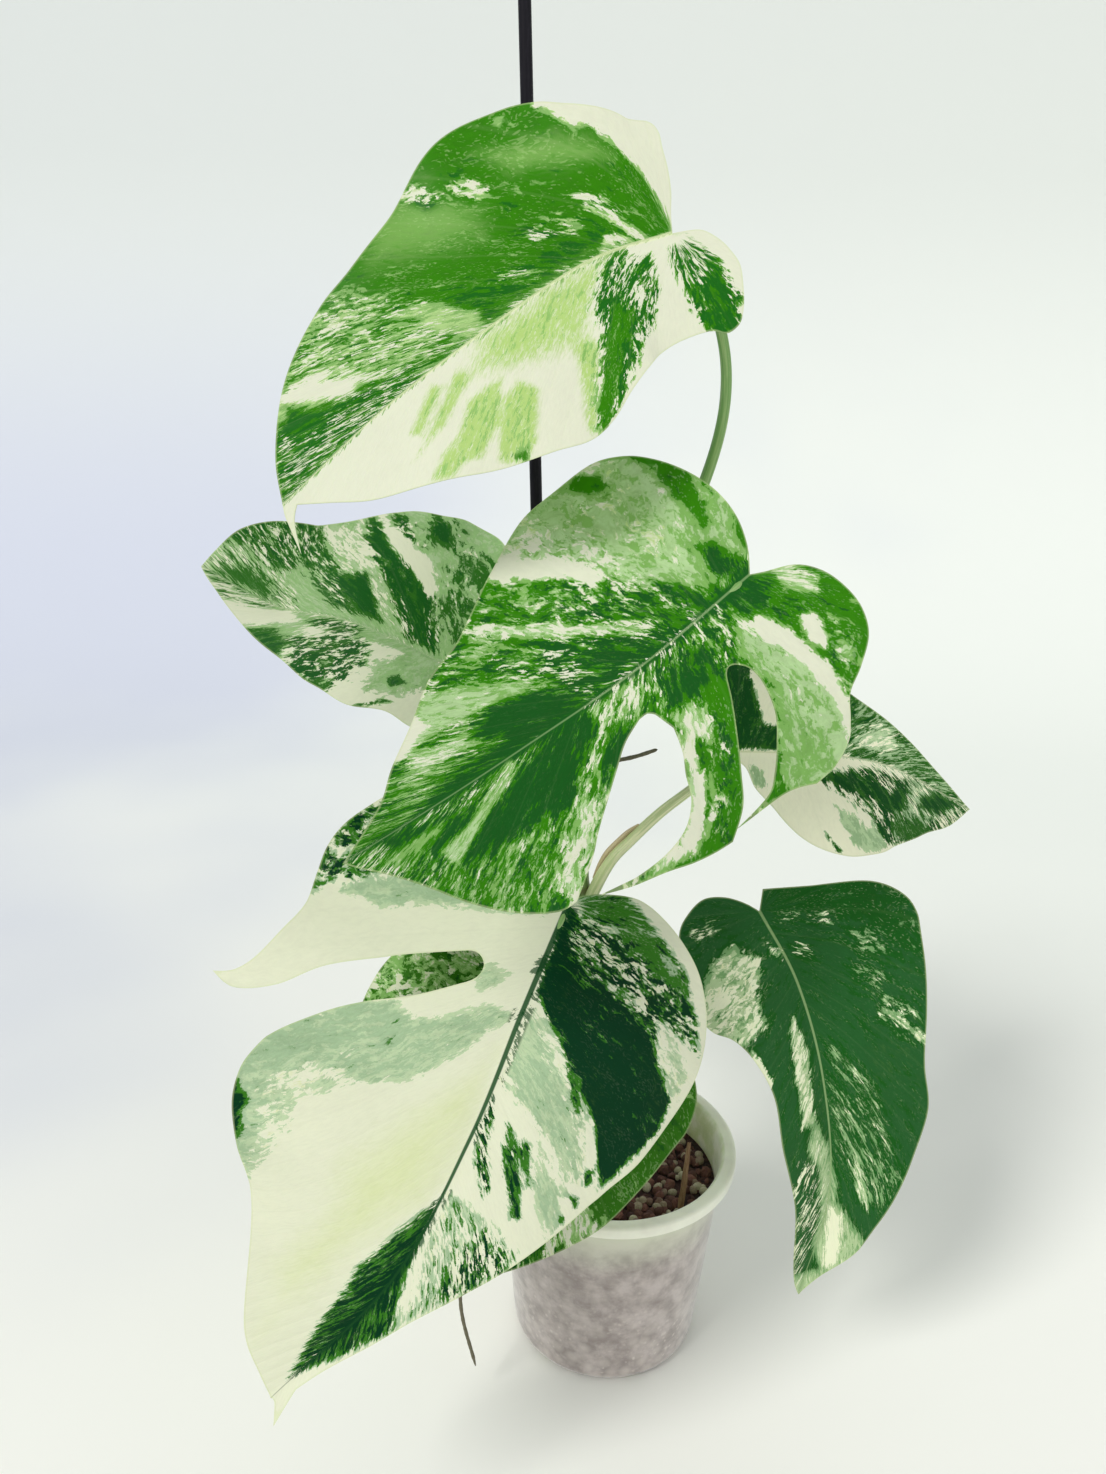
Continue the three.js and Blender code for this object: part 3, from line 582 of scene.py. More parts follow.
def catmull(points: Path, centripetal: bool, per_piece: int = 24) -> Array:
    """A fine polyline on the smooth curve through points.

    Args:
        points: What the curve passes through.
        centripetal: Whether its pieces are timed by the root of their length, or all alike.
        per_piece: Steps between two points.

    Returns:
        The polyline, one row to a point.
    """
    stops = np.array(points, float)
    stops = np.vstack([2 * stops[0] - stops[1], stops, 2 * stops[-1] - stops[-2]])
    rows = []
    for p0, p1, p2, p3 in zip(stops, stops[1:], stops[2:], stops[3:]):
        times = [1.0, 1.0, 1.0]
        if centripetal:
            pairs = ((p0, p1), (p1, p2), (p2, p3))
            times = [math.sqrt(max(np.linalg.norm(q - p), 1e-6)) for p, q in pairs]
        before, here, after = times
        start = ((p1 - p0) / before - (p2 - p0) / (before + here) + (p2 - p1) / here) * here
        end = ((p2 - p1) / here - (p3 - p1) / (here + after) + (p3 - p2) / after) * here
        for step in range(per_piece):
            t = step / per_piece
            rows.append(
                (2 * t**3 - 3 * t**2 + 1) * p1
                + (t**3 - 2 * t**2 + t) * start
                + (-2 * t**3 + 3 * t**2) * p2
                + (t**3 - t**2) * end
            )
    rows.append(stops[-2])
    return np.array(rows)


def lengths(points: Array) -> Array:
    """The distance from the start to each point of a polyline."""
    return np.concatenate([[0.0], np.cumsum(np.linalg.norm(np.diff(points, axis=0), axis=1))])


def shares(points: Array) -> Array:
    """How far along a polyline each of its points is, from 0 to 1."""
    return lengths(points) / lengths(points)[-1]


def read_at(wanted: Array, at: Array, points: Array) -> Array:
    """The points at wanted distances, read between points at known distances."""
    return np.stack([np.interp(wanted, at, column) for column in points.T], -1)


def spaced(points: Array, step: float) -> Array:
    """The same polyline with even steps of about the given size."""
    at = lengths(points)
    count = max(2, round(at[-1] / step) + 1)
    return read_at(np.linspace(0, at[-1], count), at, points)


def unit(vectors: Array) -> Array:
    """The same directions, each 1 long."""
    return vectors / np.linalg.norm(vectors, axis=1, keepdims=True)


def bell(value: Array, middle: float, width: Any) -> Array:
    """A soft bump of height 1 about a middle."""
    return np.exp(-(((value - middle) / width) ** 2))


def smooth(value: Array) -> Array:
    """A smooth step between 0 and 1."""
    value = np.clip(value, 0, 1)
    return value * value * (3 - 2 * value)


def blend(values: Sequence[Any], share: Array) -> Array:
    """Values at 0, a half and 1, joined by one smooth curve."""
    first, middle, last = (np.asarray(value, float) for value in values)
    return (
        first * (1 - share) * (1 - 2 * share)
        + middle * 4 * share * (1 - share)
        + last * share * (2 * share - 1)
    )


def signed_distance(points: Array, outline: Array) -> Array:
    """How far flat points lie from a closed outline, above 0 inside it."""
    best = np.full(len(points), 1e9)
    inside = np.zeros(len(points), bool)
    for p, q in zip(outline, np.roll(outline, -1, axis=0)):
        edge = q - p
        share = np.clip((points - p) @ edge / max(edge @ edge, 1e-9), 0, 1)
        best = np.minimum(best, np.linalg.norm(points - p - share[:, None] * edge, axis=1))
        crosses = (p[1] > points[:, 1]) != (q[1] > points[:, 1])
        height = edge[1] if abs(edge[1]) > 1e-12 else 1e-12
        inside ^= crosses & (points[:, 0] < p[0] + (points[:, 1] - p[1]) * edge[0] / height)
    return np.where(inside, best, -best)


def mesh_object(
    name: str,
    points: Array,
    faces: Iterable[Sequence[int]],
    finish: bpy.types.Material | None = None,
    edges: Iterable[Sequence[int]] = (),
    sharp: float = 40.0,
) -> Piece:
    """A mesh object at the origin from points in millimetres.

    Args:
        name: The piece's name.
        points: One row to a vertex.
        faces: Vertex numbers of each face.
        finish: Its material.
        edges: Vertex numbers of loose edges.
        sharp: The angle in degrees above which an edge isn't smoothed.

    Returns:
        The object, linked to the scene.
    """
    mesh = bpy.data.meshes.new(name)
    mesh.from_pydata((np.asarray(points) * MM).tolist(), list(edges), [list(face) for face in faces])
    mesh.update()
    if len(mesh.polygons):
        mesh.set_sharp_from_angle(angle=math.radians(sharp))
    if finish:
        mesh.materials.append(finish)
    made = bpy.data.objects.new(name, mesh)
    bpy.context.scene.collection.objects.link(made)
    return made


def write_attribute(mesh: bpy.types.Mesh, name: str, values: Array) -> None:
    """Stores a number or a vector at each vertex."""
    values = np.asarray(values, float)
    kind = "FLOAT" if values.ndim == 1 else "FLOAT_VECTOR"
    layer = mesh.attributes.new(name, kind, "POINT")
    layer.data.foreach_set("value" if kind == "FLOAT" else "vector", values.astype(np.float32).ravel())


def settle(piece: Piece) -> Piece:
    """Turns what a piece's modifiers make of it into its own mesh."""
    graph = bpy.context.evaluated_depsgraph_get()
    mesh = bpy.data.meshes.new_from_object(piece.evaluated_get(graph))
    piece.modifiers.clear()
    piece.data = mesh
    mesh.name = piece.name
    return piece


def commit(piece: Piece, slot: str, *nodes: str) -> None:
    """Sets a finished piece under the root body, hides the CAD nodes that it stands for and logs its face
    count and slot.
    """
    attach(piece, "root")
    if nodes:
        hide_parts(*nodes)
    LOG.info("%s: %d faces, slot %s", piece.name, len(piece.data.polygons), slot)


# Growing with geometry nodes


@dataclass
class Strand:
    """One line to be thickened, with its radius at every point and where its rings are."""

    points: Array
    radii: Array
    rings: Array | None = None


def start_tree(name: str, inputs: dict[str, str]) -> tuple[Board, Any]:
    """A new geometry node tree with named inputs.

    Args:
        name: The tree's name.
        inputs: The kind of each input besides the geometry, by its name.

    Returns:
        The tree as a board, and the sockets that hold what its inputs are given.
    """
    tree = bpy.data.node_groups.new(name, "GeometryNodeTree")
    for label, kind in {"Geometry": "Geometry", **inputs}.items():
        tree.interface.new_socket(label, in_out="INPUT", socket_type="NodeSocket" + kind)
    tree.interface.new_socket("Geometry", in_out="OUTPUT", socket_type="NodeSocketGeometry")
    board = Board(tree)
    return board, board.node("NodeGroupInput").outputs


def end_tree(board: Board, shape: Socket, skin: Socket) -> Tree:
    """Ends a tree with its shape under one material."""
    inputs = {"Geometry": shape, "Material": skin}
    dressed = board.node("GeometryNodeSetMaterial", None, inputs)
    board.feed(board.node("NodeGroupOutput").inputs[0], dressed.outputs["Geometry"])
    return board.tree


class SweepTree:
    """A geometry node tree that thickens lines into round bodies by their own radius."""

    NAME = "round_sweep"

    @classmethod
    def tree(cls) -> Tree:
        """The tree, built once."""
        known = bpy.data.node_groups.get(cls.NAME)
        if known:
            return known
        board, given = start_tree(cls.NAME, {"Sides": "Int", "Skin": "Material"})
        lines = board.node("GeometryNodeMeshToCurve", None, {"Mesh": given["Geometry"]})
        ring = board.node("GeometryNodeCurvePrimitiveCircle", None, {"Resolution": given["Sides"]})
        board.feed(board.socket_of(ring, "Radius"), MM)
        share = board.node("GeometryNodeSplineParameter")
        profile = board.node(
            "GeometryNodeStoreNamedAttribute",
            {"data_type": "FLOAT", "domain": "POINT"},
            {"Geometry": ring.outputs["Curve"], "Name": "girth", "Value": share.outputs["Factor"]},
        )
        thick = board.node("GeometryNodeInputNamedAttribute", {"data_type": "FLOAT"}, {"Name": "thick"})
        body = board.node(
            "GeometryNodeCurveToMesh",
            None,
            {
                "Curve": lines.outputs["Curve"],
                "Profile Curve": profile.outputs["Geometry"],
                "Scale": thick.outputs["Attribute"],
                "Fill Caps": True,
            },
        )
        whole = board.node("GeometryNodeRealizeInstances", None, {"Geometry": body.outputs["Mesh"]})
        return end_tree(board, whole.outputs["Geometry"], given["Skin"])


def apply_tree(
    piece: Piece, tree: Tree, values: dict[str, Any]
) -> Piece:
    """Runs a node tree on a piece with the given named inputs and keeps the result."""
    modifier = piece.modifiers.new(tree.name, "NODES")
    modifier.node_group = tree
    for item in tree.interface.items_tree:
        if item.in_out == "INPUT" and item.name in values:
            modifier[item.identifier] = values[item.name]
    return settle(piece)


def sweep(
    name: str, strands: Sequence[Strand], sides: int, finish: bpy.types.Material
) -> Piece:
    """One object of round bodies along strands.

    Args:
        name: The piece's name.
        strands: The lines, in millimetres.
        sides: How many sides each body has.
        finish: Its material.

    Returns:
        The object with its own mesh.
    """
    edges = []
    base = 0
    for strand in strands:
        count = len(strand.points)
        edges += [(base + i, base + i + 1) for i in range(count - 1)]
        base += count
    rings = [np.zeros(len(s.points)) if s.rings is None else s.rings for s in strands]
    piece = mesh_object(name, np.vstack([strand.points for strand in strands]), [], None, edges)
    write_attribute(piece.data, "thick", np.concatenate([strand.radii for strand in strands]))
    write_attribute(piece.data, "along", np.concatenate([lengths(strand.points) for strand in strands]))
    write_attribute(piece.data, "ring", np.concatenate(rings))
    apply_tree(piece, SweepTree.tree(), {"Sides": sides, "Skin": finish})
    piece.data.set_sharp_from_angle(angle=math.radians(55))
    return piece


# Leaves


class Ink(enum.Enum):
    """What a marked area holds: how much cream, how light its green is, how streaked, and how much painted
    highlight on its green and glow colour on its cream.
    """

    CREAM = (1.0, 0.95, 0.0, 0.0)
    # Cream with a painted glow of light through the leaf
    GLOW = (1.0, 0.95, 0.0, 0.55)
    LIME = (0.66, 0.78, 0.8, 0.9)
    PALE = (0.5, 0.8, 1.0, 0.0)
    SPRAY = (0.36, 0.34, 1.0, 0.0)
    FROST = (0.14, 0.71, 0.55, 0.0)
    MINT = (0.2, 0.84, 0.6, 0.0)
    SAGE = (0.12, 0.65, 0.4, 0.0)
    # Painted highlight over the green
    LIT = (0.02, 0.38, 0.3, 0.9)
    GREEN = (0.05, 0.36, 0.4, 0.0)
    DARK = (0.0, 0.14, 0.5, 0.0)
    FLECKED = (0.22, 0.26, 1.0, 0.0)
    FRECKLED = (0.1, 0.4, 1.0, 0.0)
    MARBLE = (0.34, 0.5, 1.0, 0.0)
    BLOTCH = (0.34, 0.12, 1.0, 0.0)
    WASH = (0.27, 0.5, 1.0, 0.0)
    SPECKED = (0.12, 0.2, 0.75, 0.0)
    # Pale mint under painted light
    HAZE = (0.34, 0.86, 0.9, 0.5)
    NIGHT = (0.0, 0.05, 0.6, 0.0)


@dataclass(frozen=True)
class Mark:
    """An area of a blade, as a flat outline in millimetres, and how soft its edge is."""

    ink: Ink
    outline: Path
    soft: float = 2.2


@dataclass(frozen=True)
class LeafPlan:
    """Everything that makes one leaf: its sheet, its margins, its stalk and its markings."""

    rib: Path
    face: Path
    fold: Point
    curl: tuple[Point, Point]
    right: Sequence[Path]
    left: Sequence[Path]
    stalk_radius: float
    stalk: Path
    veins: tuple[Point, Point]
    ground: Ink
    marks: Sequence[Mark]
    finish: LeafFinish
    stalk_finish: StalkFinish
    keel: Colour = (0.28, 0.44, 0.16)


GREEN_STALK = StalkFinish("stalk_green", base=(0.16, 0.34, 0.08), streak=(0.42, 0.58, 0.24), amount=0.6)
CREAM_STALK = StalkFinish(
    "stalk_cream",
    base=(0.78, 0.79, 0.5),
    streak=(0.5, 0.58, 0.28),
    upper=(0.3, 0.44, 0.14),
    upper_share=0.5,
    amount=0.35,
)


# The leaves' plans


# The top leaf, half cream
MARKS_A = [
    Mark(Ink.CREAM, [(0, -30), (0, 190), (-90, 190), (-90, -30)], 1.2),
    Mark(Ink.CREAM, [(2, -1), (14, 0), (26, 4), (36, 9), (49, 17), (53, 22), (67, 26), (80, 24), (70, -14),
        (20, -20)], 1.2),
    # Painted highlight bands on the blade
    Mark(Ink.LIT, [(64, 90), (62, 66), (40, 54), (30, 60), (36, 78), (46, 98)], 12),
    Mark(Ink.DARK, [(18, 88), (10, 57), (11, 39), (12, 24), (2, 12), (-1, 29), (0, 63), (0, 84),
        (13, 91)], 3),
    # Another painted highlight
    Mark(Ink.LIT, [(60, 44), (52, 27), (42, 17), (33, 13), (36, 25), (46, 40)], 7),
    Mark(Ink.SPRAY, [(58, 61), (56, 52), (43, 48), (42, 55), (50, 61)]),
    Mark(Ink.SPRAY, [(66, 76), (64, 65), (50, 62), (51, 69)]),
    Mark(Ink.SPRAY, [(24, 47), (22, 34), (14, 35), (16, 47)], 1),
    Mark(Ink.SPRAY, [(19, 35), (16, 28), (10, 31), (12, 37)], 1),
    Mark(Ink.SPRAY, [(26, 29), (22, 22), (12, 15), (8, 18), (17, 26)], 0.5),
    Mark(Ink.PALE, [(20, 27), (2, 10), (0, 12), (12, 22)], 0),
    Mark(Ink.PALE, [(7, 24), (3, 15), (0, 16), (2, 27)], 0),
    Mark(Ink.SPRAY, [(16, 64), (8, 50), (4, 52), (11, 66)], 1),
    Mark(Ink.WASH, [(42, 136), (47, 117), (24, 93), (2, 81), (2, 112), (26, 150)], 5),
    Mark(Ink.MINT, [(20, 96), (17, 88), (7, 78), (0, 82), (9, 95)], 1.5),
    Mark(Ink.CREAM, [(29, 153), (27, 144), (16, 129), (12, 132), (22, 150)], 1.5),
    Mark(Ink.MINT, [(28, 156), (18, 141), (13, 144), (20, 160)], 1.5),
    Mark(Ink.BLOTCH, [(4, 110), (0, 111), (0, 178), (6, 176), (21, 162), (15, 146), (10, 130)], 3),
    Mark(Ink.DARK, [(20, 161), (24, 153), (15, 143), (11, 147), (14, 157)], 1.5),
    Mark(Ink.LIME, [(-12, 96), (-1, 84), (-1, 24), (-17, 38), (-28, 56), (-22, 76)], 10),
    Mark(Ink.LIME, [(-17, 128), (-5, 109), (-9, 106), (-21, 125)], 1.5),
    Mark(Ink.LIME, [(-28, 135), (-20, 119), (-7, 98), (-13, 97), (-23, 115)], 1.5),
    Mark(Ink.LIME, [(-39, 136), (-32, 123), (-29, 110), (-36, 108), (-43, 127)], 1.5),
    Mark(Ink.LIME, [(-38, 122), (-20, 103), (-21, 88), (-35, 99), (-43, 114)], 1.5),
    Mark(Ink.LIME, [(-48, 110), (-29, 93), (-26, 84), (-34, 80), (-50, 94), (-55, 102)], 1.5),
    Mark(Ink.LIME, [(-26, 58), (-32, 49), (-63, 76), (-56, 76)], 2),
    Mark(Ink.DARK, [(-49, 105), (-50, 98), (-55, 102)], 1),
    Mark(Ink.BLOTCH, [(-5, 31), (0, 22), (-5, 10), (-22, 11), (-34, 17), (-50, 47), (-60, 67), (-63, 76),
        (-50, 67), (-28, 48), (-18, 45)], 2.5),
    Mark(Ink.GREEN, [(-20, 34), (-30, 30), (-44, 50), (-58, 68), (-61, 74), (-48, 64)], 2.5),
    Mark(Ink.BLOTCH, [(-4, -6), (-14, -11), (-24, -14), (-36, -15), (-46, -10), (-49, -3), (-45, 4),
        (-37, 5), (-26, 5), (-14, 6), (-5, 4)], 1.5),
    Mark(Ink.DARK, [(-20, -8), (-36, -10), (-46, -6), (-44, 0), (-30, 0)], 3),
]
LEAF_A = LeafPlan(
    rib=[(7, 4, 506), (-24, -2, 495), (-61, -14, 470), (-97, -26, 442), (-132, -38, 409)],
    face=[(-0.15, -0.9, 0.4), (-0.2, -0.9, 0.38), (-0.3, -0.88, 0.35)],
    fold=(14, 12, 20),
    curl=((5, 5, 6), (9, 5, 4)),
    right=[
        [(0, 0), (7, -2), (15, -5), (24, -7), (32, -8), (39, -9), (44, -7), (47, -1), (54, 11), (61, 20),
            (68, 26), (73, 33), (75, 44), (70, 60), (58, 84), (50, 104), (46, 121), (36, 141), (26, 156),
            (13, 170), (0, 179)],
    ],
    left=[
        [(0, 0), (-1, -6), (-3, -11), (-9, -15), (-15, -17), (-22, -18), (-30, -16), (-38, -13), (-44, -9),
            (-46, -3), (-43, 2), (-43, 10), (-45, 20), (-49, 36), (-54, 53), (-59, 66), (-61, 78),
            (-57, 92), (-50, 113), (-44, 126), (-37, 140), (-28, 155), (-16, 166), (-5, 175)],
        [(-11, 180), (-25, 186)],
        [(-13, 183), (-5, 181), (0, 179)],
    ],
    stalk_radius=3.1,
    stalk=[(-21, 17, 304), (-9, 34, 334), (13, 37, 374), (29, 33, 414), (34, 26, 444), (31, 20, 468),
        (21, 14, 489)],
    veins=((0.55, 4.2), (1.05, 0.9)),
    ground=Ink.GREEN,
    marks=MARKS_A,
    finish=LeafFinish("leaf_a", mint=(0.46, 0.68, 0.26), glow=(0.45, 0.64, 0.2), rib=(0.6, 0.7, 0.36),
        rib_cream=(0.76, 0.81, 0.52), rib_shade=0.2, rib_width=1.1, turn=1.0),
    stalk_finish=GREEN_STALK,
)

# The back left leaf
MARKS_B = [
    Mark(Ink.CREAM, [(0, 10), (0, 150), (-80, 150), (-80, -20), (-20, -20)], 2),
    Mark(Ink.BLOTCH, [(58, 82), (56, 70), (42, 58), (36, 44), (3, 28), (3, 45), (17, 57), (30, 71),
        (44, 80)], 3),
    Mark(Ink.DARK, [(54, 77), (50, 70), (38, 60), (30, 47), (5, 33), (5, 40), (20, 53), (32, 67)], 4),
    Mark(Ink.BLOTCH, [(66, 70), (58, 60), (49, 56), (48, 65), (56, 73)], 4),
    Mark(Ink.FLECKED, [(40, 130), (48, 113), (37, 88), (20, 77), (4, 68), (6, 80), (18, 91), (27, 107),
        (29, 120)], 3),
    Mark(Ink.FLECKED, [(27, 144), (39, 128), (31, 115), (26, 102), (15, 111), (19, 133), (14, 144)], 3),
    Mark(Ink.PALE, [(46, 96), (54, 80), (34, 71), (21, 61), (6, 49), (9, 59), (16, 72), (26, 81)]),
    Mark(Ink.CREAM, [(62, 75), (51, 65), (46, 51), (32, 40), (29, 44), (38, 56), (46, 68)], 1.5),
    Mark(Ink.FRECKLED, [(73, 58), (72, 42), (58, 38), (54, 52), (62, 58)], 4),
    Mark(Ink.DARK, [(69, 54), (67, 49), (60, 46), (59, 51)], 4),
    Mark(Ink.FRECKLED, [(70, 40), (62, 24), (32, 18), (10, 20), (18, 33), (44, 40)], 4),
    Mark(Ink.MARBLE, [(1, 150), (17, 138), (16, 116), (6, 94), (0, 96), (-16, 128)], 3),
    Mark(Ink.GREEN, [(1, 112), (10, 112), (12, 128), (1, 140)], 3),
    Mark(Ink.DARK, [(22, 80), (27, 71), (14, 62), (4, 57), (6, 67), (12, 76)]),
    Mark(Ink.DARK, [(16, 16), (40, 14), (62, 24), (52, 8), (28, -4), (10, 2)], 3),
    Mark(Ink.FROST, [(-1, 96), (1, 60), (1, 20), (-27, 22), (-44, 34), (-54, 47), (-41, 50), (-24, 49),
        (-9, 42), (-12, 68), (-14, 88)], 3),
    Mark(Ink.FROST, [(-8, 86), (-24, 84), (-46, 84), (-36, 96), (-24, 110), (-14, 98)], 5),
    Mark(Ink.DARK, [(-26, 108), (-20, 98), (-33, 87), (-48, 84), (-40, 96)], 3),
    Mark(Ink.BLOTCH, [(-2, 84), (-8, 86), (-18, 76), (-26, 78), (-30, 70), (-14, 62), (-2, 66)], 4),
    Mark(Ink.BLOTCH, [(-34, 66), (-22, 67), (-11, 59), (-17, 51), (-34, 56)], 2.5),
    Mark(Ink.BLOTCH, [(-26, 88), (-20, 72), (-34, 64), (-26, 52), (-48, 53), (-64, 62), (-56, 79)], 3),
    Mark(Ink.GREEN, [(-58, 68), (-52, 63), (-59, 59), (-65, 62)], 1.5),
    Mark(Ink.DARK, [(-68, 51), (-52, 39), (-51, 35), (-68, 47)], 1),
    Mark(Ink.DARK, [(-37, 42), (-30, 38), (-33, 34), (-41, 39)], 1.5),
    Mark(Ink.GREEN, [(-10, 12), (-30, 6), (-50, 18), (-38, -4), (-14, -6)], 3),
]
LEAF_B = LeafPlan(
    rib=[(-65, 48, 314), (-89, 46, 329), (-127, 48, 345), (-162, 54, 350), (-197, 62, 366)],
    face=[(0.05, -0.5, 0.85), (0, -0.5, 0.85), (-0.1, -0.6, 0.75)],
    fold=(26, 24, 24),
    curl=((4, 5, 5), (3, 3, 3)),
    right=[
        [(0, 0), (8, -5), (22, -9), (40, -5), (56, 4), (71, 18), (80, 28), (80, 42), (73, 54), (68, 68),
            (54, 84), (47, 99), (43, 117), (36, 130), (24, 140), (10, 144), (0, 146)],
    ],
    left=[
        [(0, 0), (-6, -7), (-18, -11), (-34, -8), (-48, 2), (-57, 14), (-60, 26), (-59, 36), (-65, 49),
            (-60, 62), (-56, 73), (-44, 87), (-24, 109), (-12, 127), (-5, 139), (0, 146)],
    ],
    stalk_radius=2.6,
    stalk=[(-18, 13, 208), (-34, 12, 236), (-52, 26, 274), (-61, 40, 300)],
    veins=((0.1, 3.6), (-0.2, 2.0)),
    ground=Ink.FROST,
    marks=MARKS_B,
    finish=replace(DEEP_LEAF, name="leaf_b", dark=(0.011, 0.1, 0.013), sage=(0.3, 0.5, 0.2),
        rib=(0.3, 0.45, 0.22), rib_shade=0.1, rib_width=0.6, turn=2.3),
    stalk_finish=GREEN_STALK,
)

